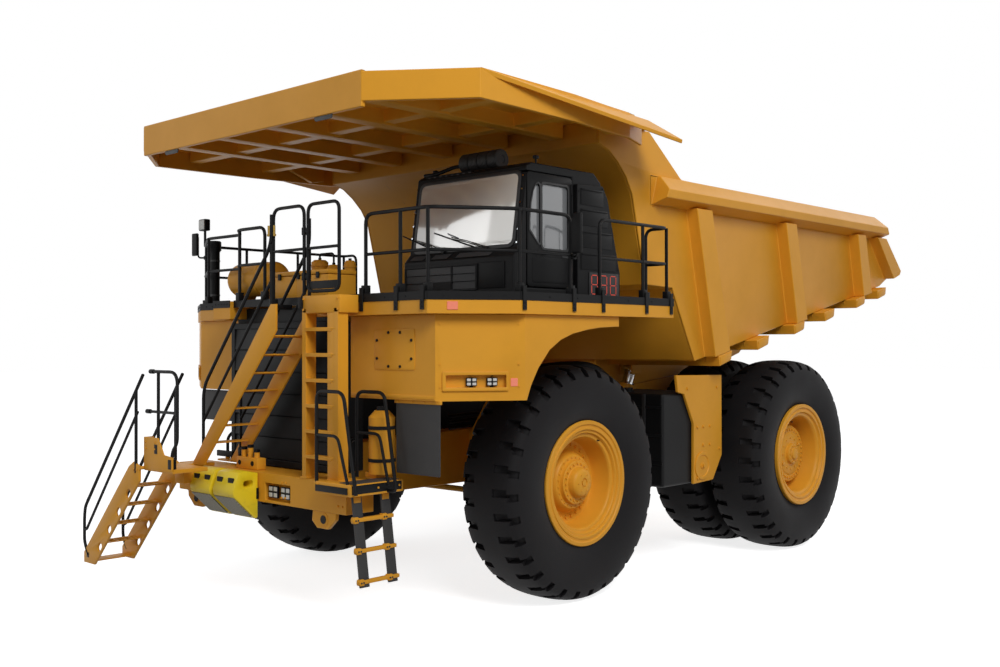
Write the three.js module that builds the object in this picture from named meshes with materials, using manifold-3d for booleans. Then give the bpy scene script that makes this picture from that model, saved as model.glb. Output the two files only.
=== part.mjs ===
// A rigid-frame mining dump truck: frame, axles, decks, cab, stairs and a tipping body with its
// canopy, at full size in millimetres. +Z is up, the truck faces -Y and its left side is +X.
// Sizes are measured from the front axle, and the whole truck is centred at the end.
import * as THREE from 'three';
import { mergeVertices } from 'three/addons/utils/BufferGeometryUtils.js';
import Module from 'manifold-3d';

const wasm = await Module();
wasm.setup();

// ---- driving dimensions -------------------------------------------------------------------
const GAP = 0.4;                 // clearance kept between touching pieces
const AXLE_Z = 1500;             // wheel centre height, which is also the rolling radius
const WHEELBASE = 5180;
const TYRE_HALF_WIDTH = 470;
const TYRE_SIDES = 24;
const RIM_SIDES = 16;
const FRONT_TRACK_X = 2425;
const REAR_INNER_X = 1605;
const REAR_OUTER_X = 2680;
const RIM_FLANGE_R = 800;
const RIM_BARREL_R = 640;
const KINGPIN_X = 1600;

const FRAME_IN = 620;            // inner and outer faces of each frame rail
const FRAME_OUT = 900;
const PIVOT_Y = 6420;            // body pivot at the rear end of the frame
const PIVOT_Z = 2700;
const PIVOT_EYE_R = 150;

const BODY_IN = 2725;            // inner face of a body side plate
const BODY_OUT = 2760;
const RIB_OUT = 2950;
const FLOOR_FRONT_Y = 2620;
const FLOOR_FRONT_Z = 3020;
const FLOOR_REAR_Y = 8900;
const FLOOR_SLOPE = 0.21;
const FLOOR_PLATE = 60;
const RAIL_LOW_Z = 5190;
const RAIL_TOP_Z = 5620;
const CANOPY_Z = 6200;           // underside of the canopy plate
const CANOPY_TOP = 6260;
const CANOPY_FRONT_Y = -3280;
const CANOPY_NOSE_X = 2310;      // half-width of the straight front edge
const CANOPY_SIDE_X = 3370;
const CANOPY_CORNER_Y = -2500;
const BAND_LOW_Z = 5870;

const DECK_TOP = 3850;
const DECK_PLATE = 40;
const CHANNEL_LOW = 3610;
const DECK_EDGE_X = 3400;
const FENDER_X = 3345;
const FRONT_Y = -2600;           // plane of the fender fronts and radiator face
const RAIL_R = 22;               // handrail tube radius
const RAIL_HEIGHT = 940;
const MID_RAIL = 470;

const HOIST_X = 1075;
const HOIST_FOOT = [2750, 1250]; // lower and upper pins of a hoist cylinder, as y and z
const HOIST_HEAD = [3350, 2890];
const STAIR_PIVOT = [-1150, 1750];   // boarding stair hinge, as x and z
const STAIR_Y = [-3980, -3400];

// ---- materials ----------------------------------------------------------------------------
const finish = (color, roughness, metalness = 0) =>
  new THREE.MeshStandardMaterial({ color, roughness, metalness });
const YELLOW = () => finish(0xd9a441, 0.45);
const BLACK = () => finish(0x2f2f31, 0.5);
const RUBBER = () => finish(0x29282b, 0.85);
const STEEL = () => finish(0xb8bcc0, 0.25, 1);
const GLASS = () => finish(0xa9b6b8, 0.08);
const SAFETY_YELLOW = () => finish(0xf0dc14, 0.5);

// ---- solids -------------------------------------------------------------------------------
function toSolid(geometry) {
  const bare = geometry.clone();
  bare.deleteAttribute('normal');
  bare.deleteAttribute('uv');
  const merged = mergeVertices(bare, 1e-3);
  return new wasm.Manifold(new wasm.Mesh({
    numProp: 3,
    vertProperties: merged.attributes.position.array,
    triVerts: Uint32Array.from(merged.index.array),
  }));
}

function fromSolid(solid) {
  const mesh = solid.asOriginal().simplify(0.02).getMesh();
  const geometry = new THREE.BufferGeometry();
  geometry.setAttribute('position', new THREE.BufferAttribute(mesh.vertProperties, 3));
  geometry.setIndex(new THREE.BufferAttribute(mesh.triVerts, 1));
  geometry.computeVertexNormals();
  return geometry;
}

const join = (...pieces) =>
  fromSolid(pieces.flat().map(toSolid).reduce((whole, piece) => whole.add(piece)));
const cut = (piece, ...tools) =>
  fromSolid(tools.flat().map(toSolid).reduce((whole, tool) => whole.subtract(tool), toSolid(piece)));

function box(x0, x1, y0, y1, z0, z1) {
  const geometry = new THREE.BoxGeometry(x1 - x0, y1 - y0, z1 - z0);
  return geometry.translate((x0 + x1) / 2, (y0 + y1) / 2, (z0 + z1) / 2);
}

const AXES = {
  x: [new THREE.Vector3(0, 1, 0), new THREE.Vector3(0, 0, 1), new THREE.Vector3(1, 0, 0)],
  y: [new THREE.Vector3(1, 0, 0), new THREE.Vector3(0, 0, 1), new THREE.Vector3(0, -1, 0)],
  z: [new THREE.Vector3(1, 0, 0), new THREE.Vector3(0, 1, 0), new THREE.Vector3(0, 0, 1)],
};

// A flat outline given in the other two coordinates, pulled along one axis from a to b.
function slab(axis, outline, a, b, holes = []) {
  const shape = new THREE.Shape(outline.map(([u, v]) => new THREE.Vector2(u, v)));
  shape.holes = holes.map((hole) => new THREE.Path(hole.map(([u, v]) => new THREE.Vector2(u, v))));
  const geometry = new THREE.ExtrudeGeometry(shape, { depth: b - a, bevelEnabled: false });
  geometry.applyMatrix4(new THREE.Matrix4().makeBasis(...AXES[axis]));
  const shift = axis === 'y' ? [0, b, 0] : axis === 'x' ? [a, 0, 0] : [0, 0, a];
  return geometry.translate(...shift);
}

// A closed profile of [x, radius] turned about the X axis, with a flat facet at the bottom.
function turned(profile, sides) {
  const points = profile.map(([x, r]) => new THREE.Vector2(r, x));
  if (profile[0][1] > 0) points.push(points[0].clone());
  const geometry = new THREE.LatheGeometry(points, sides);
  geometry.rotateZ(-Math.PI / 2);
  return geometry.rotateX(Math.PI / sides);
}

function rod(from, to, radius, sides = 6, reach = 0) {
  const start = new THREE.Vector3(...from);
  const way = new THREE.Vector3(...to).sub(start);
  const length = way.length();
  const geometry = new THREE.CylinderGeometry(radius, radius, length + 2 * reach, sides);
  geometry.translate(0, length / 2, 0);
  way.normalize();
  geometry.applyQuaternion(new THREE.Quaternion().setFromUnitVectors(new THREE.Vector3(0, 1, 0), way));
  return geometry.translate(...from);
}

// Straight tubes from point to point; each runs a little past its ends so that they join.
const tubes = (points, radius = RAIL_R) =>
  points.slice(1).map((point, i) => rod(points[i], point, radius, 4, radius * 0.8));

const mirror = (outline) => outline.map(([x, y]) => [-x, y]).reverse();

// The same piece on the other side of the truck.
function flipped(geometry) {
  const other = geometry.index ? geometry.toNonIndexed() : geometry.clone();
  other.scale(-1, 1, 1);
  const position = other.attributes.position;
  for (let i = 0; i < position.count; i += 3) {
    const spare = [position.getX(i), position.getY(i), position.getZ(i)];
    position.setXYZ(i, position.getX(i + 1), position.getY(i + 1), position.getZ(i + 1));
    position.setXYZ(i + 1, ...spare);
  }
  return other;
}

// ---- the truck ----------------------------------------------------------------------------
const truck = new THREE.Group();

function add(name, geometry, material) {
  const mesh = new THREE.Mesh(geometry, material);
  mesh.name = name;
  truck.add(mesh);
  return mesh;
}

const SIDES = [['left', 1], ['right', -1]];
const onSide = (geometry, sign) => (sign > 0 ? geometry : flipped(geometry));

// ---- wheels -------------------------------------------------------------------------------
function tyre() {
  const crown = AXLE_Z / Math.cos(Math.PI / TYRE_SIDES);
  const half = [[300, 655], [358, 815], [TYRE_HALF_WIDTH, 1010], [460, 1350], [350, crown]];
  return turned([...half.map(([x, r]) => [-x, r]), ...[...half].reverse()], TYRE_SIDES);
}

function frontRim() {
  return turned([
    [365, 0], [365, 140], [330, 165], [210, 180], [185, 300], [60, 330], [20, 470],
    [330, 560], [370, 600], [408, 645], [408, RIM_FLANGE_R], [372, RIM_FLANGE_R], [330, 668],
    [300, RIM_BARREL_R], [-300, RIM_BARREL_R], [-330, 668], [-372, RIM_FLANGE_R],
    [-408, RIM_FLANGE_R], [-400, 610], [-90, 540], [-110, 340], [-320, 330], [-320, 0],
  ].reverse(), RIM_SIDES);
}

function rearRims() {
  return turned([
    [3000, 0], [3000, 110], [2955, 140], [2900, 165], [2885, 430], [2800, 455], [2700, 470],
    [2700, 560], [3050, 600], [3090, 650], [3122, 670], [3122, RIM_FLANGE_R],
    [3060, RIM_FLANGE_R], [3020, 668], [2990, RIM_BARREL_R],
    [2350, RIM_BARREL_R], [2312, RIM_FLANGE_R], [2260, RIM_FLANGE_R], [2240, RIM_BARREL_R],
    [2050, RIM_BARREL_R], [2030, RIM_FLANGE_R], [1976, RIM_FLANGE_R], [1940, RIM_BARREL_R],
    [1290, RIM_BARREL_R], [1236, RIM_FLANGE_R], [1190, RIM_FLANGE_R], [1190, 610],
    [1450, 560], [1450, 430], [1220, 410], [1220, 0],
  ].reverse(), RIM_SIDES);
}

for (const [side, sign] of SIDES) {
  const front = add(`front_${side}_tyre`, tyre(), RUBBER());
  front.position.set(sign * FRONT_TRACK_X, 0, AXLE_Z);
  const rim = add(`front_${side}_rim`, onSide(frontRim(), sign), YELLOW());
  rim.position.set(sign * FRONT_TRACK_X, 0, AXLE_Z);
  for (const [place, x] of [['outer', REAR_OUTER_X], ['inner', REAR_INNER_X]]) {
    add(`rear_${side}_${place}_tyre`, tyre(), RUBBER()).position.set(sign * x, WHEELBASE, AXLE_Z);
  }
  add(`rear_${side}_rims`, onSide(rearRims(), sign), YELLOW()).position.set(0, WHEELBASE, AXLE_Z);
}

// ---- frame, axles and steering ------------------------------------------------------------
function mainFrame() {
  const rail = [
    [-2640, 1380], [1800, 1380], [3700, 1760], [4300, 2060], [6050, 2180], [6300, 2560],
    [6420, 2550], [6530, 2600], [6570, 2700], [6530, 2800], [6420, 2850], [6100, 2850],
    [2600, 2500], [1900, 2180], [-2090, 2050], [-2090, 1690], [-2640, 1690],
  ];
  const crossing = (y0, y1, z0, z1) => box(-FRAME_IN - 5, FRAME_IN + 5, y0, y1, z0, z1);
  const [footY, footZ] = HOIST_FOOT;
  const hoistPlate = slab('x', [[footY - 190, 1700], [footY - 110, footZ - 100],
    [footY + 110, footZ - 100], [footY + 190, 1700]], FRAME_OUT - 20, FRAME_OUT + 15);
  const hoistBoss = rod([FRAME_OUT, footY, footZ], [HOIST_X - 83, footY, footZ], 80, 12);
  const left = join(slab('x', rail, FRAME_IN, FRAME_OUT), hoistPlate, hoistBoss, frontStrut());
  return join(left, flipped(left), crossing(-2640, -2250, 1400, 1690), crossing(1200, 1600, 1500, 2100),
    crossing(3700, 4100, 2020, 2600), crossing(5700, 5950, 2250, 2750));
}

function rearAxle() {
  const housing = turned([[-1195, 0], [-1195, 330], [-520, 340], [-300, 560], [300, 560],
    [520, 340], [1195, 330], [1195, 0]], 20).translate(0, WHEELBASE, AXLE_Z);
  const strut = (x) => rod([x, WHEELBASE + 250, AXLE_Z + 50], [x, 5790, 2110], 105, 12);
  const arm = slab('x', [[4000, 1420], [4000, 1600], [4800, 1760], [4800, 1240]], -260, 260);
  return join(housing, strut(500), strut(-500), arm);
}

function frontStrut() {
  const barrel = rod([KINGPIN_X, 0, 1900], [KINGPIN_X, 0, 2950], 190, 16);
  const bracket = slab('y', [[FRAME_OUT - 5, 1450], [FRAME_OUT - 5, 2040], [1450, 2850],
    [1480, 2050]], -165, 165);
  return join(barrel, bracket);
}

// Kingpin, spindle, flange and steering arm of one front wheel.
function knuckle() {
  const pin = rod([KINGPIN_X, 0, 1180], [KINGPIN_X, 0, 1890], 170, 16);
  const spindle = rod([KINGPIN_X, 0, AXLE_Z], [2090, 0, AXLE_Z], 210, 16);
  const flange = rod([1830, 0, AXLE_Z], [1900, 0, AXLE_Z], 330, 16);
  const arm = slab('z', [[1500, 100], [1700, 100], [1560, 640], [1400, 640]], 1190, 1260);
  return join(pin, spindle, flange, arm);
}

// The track rod with its two eyes, hanging under the steering arms.
function trackRod() {
  const eye = (x) => rod([x, 560, 1070], [x, 560, 1182], 75, 12);
  return join(rod([-1480, 560, 1126], [1480, 560, 1126], 45, 8), eye(1480), eye(-1480));
}

add('main_frame', mainFrame(), YELLOW());
add('rear_axle', rearAxle(), YELLOW());
add('engine_block', box(-560, 560, -1950, 700, 1480, 2750), BLACK());
add('track_rod', trackRod(), YELLOW());
for (const [side, sign] of SIDES) {
  add(`${side}_knuckle`, onSide(knuckle(), sign), YELLOW());
}

// ---- front end ----------------------------------------------------------------------------
function bumper() {
  const beam = box(-1770, 1770, -3050, -2645, 1330, 1690);
  const lampRecess = box(200, 710, -3070, -2960, 1360, 1575);
  const towPlate = slab('y', [[1150, 1400], [1120, 1210], [1220, 1130], [1420, 1130], [1560, 1250],
    [1580, 1400]], -3040, -2990);
  return join(cut(beam, lampRecess), towPlate, flipped(towPlate));
}

function radiatorGuard() {
  const shell = box(-1215, 940, FRONT_Y, -2100, 1700, 3560);
  return cut(shell, box(-1130, 860, FRONT_Y - 20, -2540, 1790, 3480));
}

add('front_bumper', bumper(), YELLOW());
add('radiator_guard', radiatorGuard(), BLACK());

// One fender: front panel, slanted lamp panel from the bend to the side, and a side panel cut
// round the wheel.
function fender(front, bend) {
  const t = 30;
  const outline = [[1300, front], [bend, front], [FENDER_X, -1760], [FENDER_X, 0],
    [FENDER_X - t, 0], [FENDER_X - t, -1750], [bend - 12, front + t], [1300, front + t]];
  const shell = slab('z', outline, 2640, CHANNEL_LOW - GAP);
  const arch = slab('x', [[-1730, 2600], [-1730, 2640], [-1660, 2800], [-1530, 3000], [-1329, 3206],
    [-1130, 3320], [-909, 3393], [-650, 3440], [-408, 3469], [-66, 3485], [50, 3485], [50, 2600]],
  FENDER_X - 60, FENDER_X + 60);
  const way = new THREE.Vector2(FENDER_X - bend, -1760 - front).normalize();
  const lampCorner = (along, out) => [bend + 85 * way.x + along * way.x + out * way.y,
    front + 85 * way.y + along * way.y - out * way.x];
  const lampBox = slab('z', [lampCorner(0, 20), lampCorner(570, 20), lampCorner(570, -60),
    lampCorner(0, -60)], 2760, 2960);
  return join(cut(shell, arch), lampBox);
}

add('left_fender', fender(FRONT_Y, 2760), YELLOW());
add('right_fender', flipped(fender(-2310, 2420)), YELLOW());

// ---- decks --------------------------------------------------------------------------------
const DECK_FRONT_Y = -2760;
const DECK_REAR_Y = 1120;

// A side deck: floor plate with a channel hanging from its edge. The right one is set back past
// the radiator.
function deck(inner, front, inset) {
  const outer = [[inner, DECK_FRONT_Y], ...front, [DECK_EDGE_X, DECK_REAR_Y], [inner, DECK_REAR_Y]];
  const shrink = [[inner + 60, DECK_FRONT_Y + 60], ...inset, [DECK_EDGE_X - 60, DECK_REAR_Y - 60],
    [inner + 60, DECK_REAR_Y - 60]];
  return join(slab('z', outer, DECK_TOP - DECK_PLATE, DECK_TOP),
    slab('z', outer, CHANNEL_LOW, DECK_TOP - DECK_PLATE + 5, [shrink]));
}

const centreDeck = () => box(-1005, 700 - GAP, -2700, 900, DECK_TOP - 60, DECK_TOP);

const leftDeck = deck(700, [[2800, DECK_FRONT_Y], [DECK_EDGE_X, -1900]],
  [[2770, DECK_FRONT_Y + 60], [DECK_EDGE_X - 60, -1880]]);
const rightDeck = deck(1000,
  [[1400, DECK_FRONT_Y], [1400, -2360], [2350, -2360], [DECK_EDGE_X, -1750]],
  [[1340, DECK_FRONT_Y + 60], [1340, -2300], [2335, -2300], [DECK_EDGE_X - 60, -1715]]);
add('left_deck', leftDeck, YELLOW());
add('right_deck', join(flipped(rightDeck), centreDeck()), YELLOW());

// Handrails: a top tube, a middle tube and posts standing on the deck.
function handrail(path, posts, base = DECK_TOP) {
  const at = (height) => path.map(([x, y]) => [x, y, base + height]);
  const feet = posts.map(([x, y]) => rod([x, y, base + GAP], [x, y, base + RAIL_HEIGHT], RAIL_R, 4));
  return join(tubes(at(RAIL_HEIGHT)), tubes(at(MID_RAIL)), feet);
}

add('left_front_handrail', handrail(
  [[1700, -2700], [2770, -2700], [3350, -1880], [3350, -960]],
  [[1700, -2700], [2300, -2700], [2770, -2700], [3350, -1880], [3350, -960]]), BLACK());
add('left_rear_handrail', handrail(
  [[3350, -400], [3350, 1060], [3000, 1060]],
  [[3350, -400], [3350, 500], [3350, 1060], [3000, 1060]]), BLACK());
add('right_handrail', handrail(
  [[-300, -2700], [-900, -2700], [-1430, -2310], [-2240, -2310], [-3350, -1660], [-3350, 1060],
    [-3000, 1060]],
  [[-300, -2700], [-900, -2700], [-1430, -2310], [-2240, -2310], [-3350, -1660], [-3350, -900],
    [-3350, 100], [-3350, 1060], [-3000, 1060]]), BLACK());

// Mirrors on brackets at the outer posts.
function mirrorArm(y, z, height) {
  const arm = tubes([[3406, y, z], [3496, y - 70, z], [3496, y - 70, z + height - 50]], 18);
  const glassBox = box(3451, 3596, y - 130, y - 80, z + 30, z + height);
  return join(arm, glassBox);
}
add('left_mirror', mirrorArm(-945, 4300, 500), BLACK());
add('right_mirror', flipped(mirrorArm(-1620, 4620, 380)), BLACK());

// ---- cab ----------------------------------------------------------------------------------
const CAB = { x0: 870, x1: 2800, front: -1350, rear: 350, floor: DECK_TOP + GAP, roof: 5480 };
const DOOR = { y0: -1113, y1: -245, z0: 3960, z1: 5370 };
const SILL = 4330;               // where the fascia ends and the windshield's cowl begins

function cabShell() {
  const { front, rear, floor, roof } = CAB;
  const side = [[front, floor], [front, SILL], [front + 100, SILL + 110], [front + 250, roof - 40],
    [front + 330, roof], [rear - 150, roof], [rear, roof - 120], [rear, floor]];
  const wall = 60;
  const inside = [[front + wall, floor + wall], [front + wall, SILL - 40],
    [front + 100 + wall, SILL + 110], [front + 250 + wall, roof - 90], [rear - 190, roof - wall],
    [rear - wall, roof - 160], [rear - wall, floor + wall]];
  const shell = slab('x', side, CAB.x0, CAB.x1);
  const hollow = slab('x', inside, CAB.x0 + wall, CAB.x1 - wall);
  const windshield = box(CAB.x0 + 110, CAB.x1 - 110, front - 50, front + 340, 4470, 5350);
  const doorway = box(CAB.x1 - 100, CAB.x1 + 50, DOOR.y0, DOOR.y1, DOOR.z0, DOOR.z1);
  const rightWindow = box(CAB.x0 - 50, CAB.x0 + 100, -900, -50, 4520, 5300);
  const rearWindow = box(CAB.x0 + 200, CAB.x1 - 900, rear - 100, rear + 50, 4620, 5250);
  return cut(shell, hollow, windshield, doorway, rightWindow, rearWindow);
}

function cabDoor() {
  const c = 8;
  const skin = box(CAB.x1 - 45, CAB.x1, DOOR.y0 + c, DOOR.y1 - c, DOOR.z0 + c, DOOR.z1 - c);
  return cut(skin, box(CAB.x1 - 60, CAB.x1 + 20, DOOR.y0 + 90, DOOR.y1 - 80, 4420, 5250));
}

add('cab_shell', cabShell(), BLACK());
add('cab_door', cabDoor(), BLACK());
add('door_window', box(CAB.x1 - 30, CAB.x1 - 18, DOOR.y0 + 90 + GAP, DOOR.y1 - 80 - GAP,
  4420 + GAP, 5250 - GAP), GLASS());
// The pane lies in the sloping front of the cab, between its sill and its header.
function windshield() {
  const slope = 150 / (CAB.roof - 150 - SILL);
  const at = (z) => CAB.front + 120 + slope * (z - SILL - 110);
  const [low, high] = [4470 + GAP, 5350 - GAP];
  return slab('x', [[at(low), low], [at(low) + 14, low], [at(high) + 14, high], [at(high), high]],
    CAB.x0 + 110 + GAP, CAB.x1 - 110 - GAP);
}
add('windshield', windshield(), GLASS());

function seat() {
  const post = box(1750, 1950, -440, -140, CAB.floor + 60 + GAP, 4200);
  const cushion = box(1590, 2110, -700, -140, 4180, 4340);
  const back = slab('x', [[-270, 4300], [-130, 4300], [0, 5000], [-110, 5000]], 1600, 2100);
  return join(post, cushion, back);
}

function steering() {
  const column = rod([1850, -1100, 4080], [1850, -940, 4600], 45, 8);
  const wheel = new THREE.TorusGeometry(210, 18, 6, 18).rotateX(-0.35).translate(1850, -945, 4585);
  const spokes = rod([1645, -945, 4585], [2055, -945, 4585], 14, 6);
  const dash = box(1050, 2600, -1250, -1060, 4000, 4330);
  return join(dash, column, wheel, spokes);
}

add('operator_seat', seat(), BLACK());
add('steering_console', steering(), BLACK());

// The equipment cabinet behind the door and across the back of the cab.
function cabinet() {
  const low = DECK_TOP + GAP;
  const side = slab('x', [[-225, low], [-225, 5290], [300, 5310], [400, 5150], [660, 4200],
    [660, low]], CAB.x1 + GAP, CAB.x1 + 70);
  const back = slab('x', [[CAB.rear + GAP, low], [CAB.rear + GAP, 5230], [400, 5150], [660, 4200],
    [660, low]], 2200, CAB.x1 + 20);
  return join(side, back);
}
add('cab_cabinet', cabinet(), BLACK());

// Filter drum on the cab roof, lying across the truck.
function roofDrum() {
  const drum = rod([1410, -760, 5630], [2080, -760, 5630], 130, 12);
  const feet = [1510, 1960].map((x) => box(x, x + 60, -800, -720, CAB.roof + GAP, 5580));
  return join(drum, feet);
}
add('roof_drum', roofDrum(), BLACK());

// ---- deck equipment -----------------------------------------------------------------------
function batteryBox() {
  return box(-650, 560, -2350, -1900, DECK_TOP + GAP, 4230);
}
function airTank() {
  const tank = rod([-1900, -2030, 4180], [-900, -2030, 4180], 240, 16);
  return join(tank, box(-1750, -1650, -2130, -1930, DECK_TOP + GAP, 4000),
    box(-1150, -1050, -2130, -1930, DECK_TOP + GAP, 4000));
}
function intakePost() {
  return join(rod([-3200, -1580, DECK_TOP + GAP], [-3200, -1580, 4850], 75, 12),
    rod([-3200, -1580, 4700], [-3200, -1580, 4870], 100, 12));
}
add('battery_box', batteryBox(), YELLOW());
add('air_tank', airTank(), YELLOW());
add('intake_post', intakePost(), BLACK());

// ---- stairs and ladder --------------------------------------------------------------------
// Upper stair in front of the radiator, climbing from the landing to the deck.
const UPPER = { x0: -890, z0: 1805, x1: 810, z1: 3600, y0: -3360, y1: -2760 };

function upperStair() {
  const stringer = [[UPPER.x0 - 60, UPPER.z0 - 60], [UPPER.x0 + 200, UPPER.z0 - 60],
    [UPPER.x1 + 40, UPPER.z1 - 160], [UPPER.x1 + 40, UPPER.z1 + 150], [UPPER.x1 - 60, UPPER.z1 + 150]];
  const treads = [];
  const steps = 7;
  for (let i = 1; i <= steps; i += 1) {
    const x = UPPER.x0 + (i * (UPPER.x1 - UPPER.x0)) / (steps + 1);
    const z = UPPER.z0 + (i * (UPPER.z1 - UPPER.z0)) / (steps + 1);
    treads.push(box(x - 60, x + 150, UPPER.y0 + 10, UPPER.y1 - 10, z - 20, z + 10));
  }
  return join(slab('y', stringer, UPPER.y0, UPPER.y0 + 30), slab('y', stringer, UPPER.y1 - 30, UPPER.y1),
    treads);
}

// Vertical ladder beside it, from the bumper to the deck.
function ladder() {
  const post = (x) => box(x, x + 70, -3050, -2900, 1690 + GAP, 3700);
  const rungs = [];
  for (let i = 0; i < 6; i += 1) rungs.push(box(1000, 1580, -3050, -2950, 1945 + i * 300, 1975 + i * 300));
  const head = box(950, 1650, -3050, DECK_FRONT_Y - GAP, 3640, DECK_TOP);
  return join(post(950), post(1550), rungs, head);
}
add('access_ladder', ladder(), YELLOW());

// Landing at bumper height that carries the boarding stair's hinge.
function landing() {
  const floor = [box(-1130, -460, -3925, -3440, 1700, 1750),
    box(-1130, -915, -3450, -3050 - GAP, 1700, 1750)];
  const hingeBox = box(-1130, -780, -3935, -3790, 1700, 2120);
  const post = box(-1130, -915, -3500, -3050 - GAP, 1500, 1700);
  const rails = [...tubes([[-1020, -3900, 2940], [-400, -3900, 2940], [-400, -3900, 2080],
    [-520, -3900, 1960], [-520, -3900, 1720]]), ...tubes([[-840, -3900, 2940], [-840, -3900, 2000]]),
    ...tubes([[-1100, -3900, 2440], [-400, -3900, 2440]])];
  return join(floor, hingeBox, post, rails);
}
add('access_stair', join(upperStair(), landing()), YELLOW());

// Boarding stair, hinged along the landing's outer edge.
function boardingStair() {
  const foot = [-2450, 400];
  const dx = foot[0] - STAIR_PIVOT[0];
  const dz = foot[1] - STAIR_PIVOT[1];
  const stringer = [[STAIR_PIVOT[0] - 15, 1560], [STAIR_PIVOT[0] - 15, 1745], [-1290, 1745],
    [foot[0] - 160, foot[1] + 60], [foot[0] - 160, foot[1] - 40], [foot[0] + 130, foot[1] - 40]];
  const treads = [];
  for (let i = 1; i <= 5; i += 1) {
    const x = STAIR_PIVOT[0] + (dx * i) / 5 - 20;
    const z = STAIR_PIVOT[1] + (dz * i) / 5;
    treads.push(box(x - 130, x + 110, STAIR_Y[0] + 10, STAIR_Y[1] - 10, z - 20, z + 10));
  }
  const rails = (y) => [
    ...tubes([[-2500, y, 470], [-2620, y, 600], [-2620, y, 1070], [-1090, y, 2900]]),
    ...tubes([[-2620, y, 800], [-2560, y, 800], [-1217, y, 2431]]),
    ...tubes([[-1260, y, 1620], [-1260, y, 2690]]),
  ];
  return join(slab('y', stringer, STAIR_Y[0], STAIR_Y[0] + 30),
    slab('y', stringer, STAIR_Y[1] - 30, STAIR_Y[1]), treads,
    rails(STAIR_Y[0] + 12), rails(STAIR_Y[1] - 12));
}
add('boarding_stair', boardingStair(), YELLOW());

// Step platform and the steps that hang from it, at the left end of the bumper.
function stepPlatform() {
  const tray = slab('z', [[1400, -3220], [2050, -3220], [2050, -2440], [1780, -2440],
    [1780, -3056], [1400, -3056]], 1570, 1720);
  const rail = (y, x) => [
    ...tubes([[x, y, 1620], [x, y, 2740], [1900, y, 2740], [2120, y, 1560]]),
    ...tubes([[x, y, 2240], [1800, y, 2240], [1990, y, 1640]]),
  ];
  const rear = [
    ...tubes([[1500, -2670, 1715], [1500, -2670, 2720], [1990, -2670, 2720], [2190, -2670, 1600],
      [2030, -2670, 1600]]),
    ...tubes([[1500, -2670, 2240], [1900, -2670, 2240], [2060, -2670, 1640]]),
  ];
  return join(tray, rail(-3200, 1420), rear);
}
add('step_platform', stepPlatform(), YELLOW());

function hangingSteps() {
  const strap = (y) => slab('y', [[1915, 1560], [1945, 1560], [2090, 560], [2060, 560]], y, y + 140);
  const rungs = [1300, 960, 620].map((z) => {
    const x = 1930 + (1560 - z) * 0.145;
    return box(x - 30, x + 30, -3130, -2530, z - 25, z + 25);
  });
  return join(strap(-3110), strap(-2690), rungs);
}
add('hanging_steps', hangingSteps(), BLACK());

// Gates: across the ladder head and at the stair head.
function gate(x0, x1, y, base) {
  return join(tubes([[x0, y, base + 50], [x0, y, base + 1080], [x1, y, base + 1080],
    [x1, y, base + 50], [x0, y, base + 50]]), tubes([[x0, y, base + 560], [x1, y, base + 560]]));
}
const GATE_Y = -3030;
add('ladder_gate', gate(1040, 1620, GATE_Y, DECK_TOP), BLACK());
const hoopFoot = (x) => box(x - 35, x + 35, GATE_Y - 35, DECK_FRONT_Y - GAP, 3700, 3780);
add('stair_hoop', join(tubes([[965, GATE_Y, DECK_TOP + 30], [965, GATE_Y, DECK_TOP + 1080],
  [350, GATE_Y, DECK_TOP + 1080], [350, GATE_Y, 3740]]),
  tubes([[965, GATE_Y, DECK_TOP + 560], [350, GATE_Y, DECK_TOP + 560]]), hoopFoot(350)), BLACK());

// Wheel chocks on their rack on the bumper.
function chocks() {
  const wedge = (x) => slab('x', [[-3060, 1690], [-3220, 1725], [-3350, 1705], [-3430, 1500],
    [-3420, 1420], [-3110, 1120], [-3060, 1120]], x, x + 460);
  return join(wedge(-905), wedge(-385), box(-905, 75, -3090, -3050 - GAP, 1360, 1500));
}
add('wheel_chocks', chocks(), SAFETY_YELLOW());

// ---- tanks and guards between the wheels --------------------------------------------------
function fuelTank() {
  return box(1250, 2650, 1950, 3250, 1230, 2560);
}
function tankGuard() {
  const plate = slab('x', [[2229, 2820], [2270, 2575], [2434, 2539], [2675, 2109], [2668, 1225],
    [3191, 1245], [3440, 1600], [3440, 2800]], 2651, 2700);
  return join(plate);
}
function hydraulicTank() {
  return box(-2600, -1250, 1950, 3250, 1300, 2500);
}
add('fuel_tank', fuelTank(), BLACK());
add('tank_guard', tankGuard(), YELLOW());
add('hydraulic_tank', hydraulicTank(), YELLOW());

// ---- dump body ----------------------------------------------------------------------------
const floorZ = (y) => FLOOR_FRONT_Z + FLOOR_SLOPE * (y - FLOOR_FRONT_Y);
const WALL_FACE = [[FLOOR_FRONT_Y, FLOOR_FRONT_Z], [2050, 4060], [1400, 4085], [1100, 5300],
  [960, 5520], [770, 5700], [580, 5830], [360, 5900]];

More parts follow.
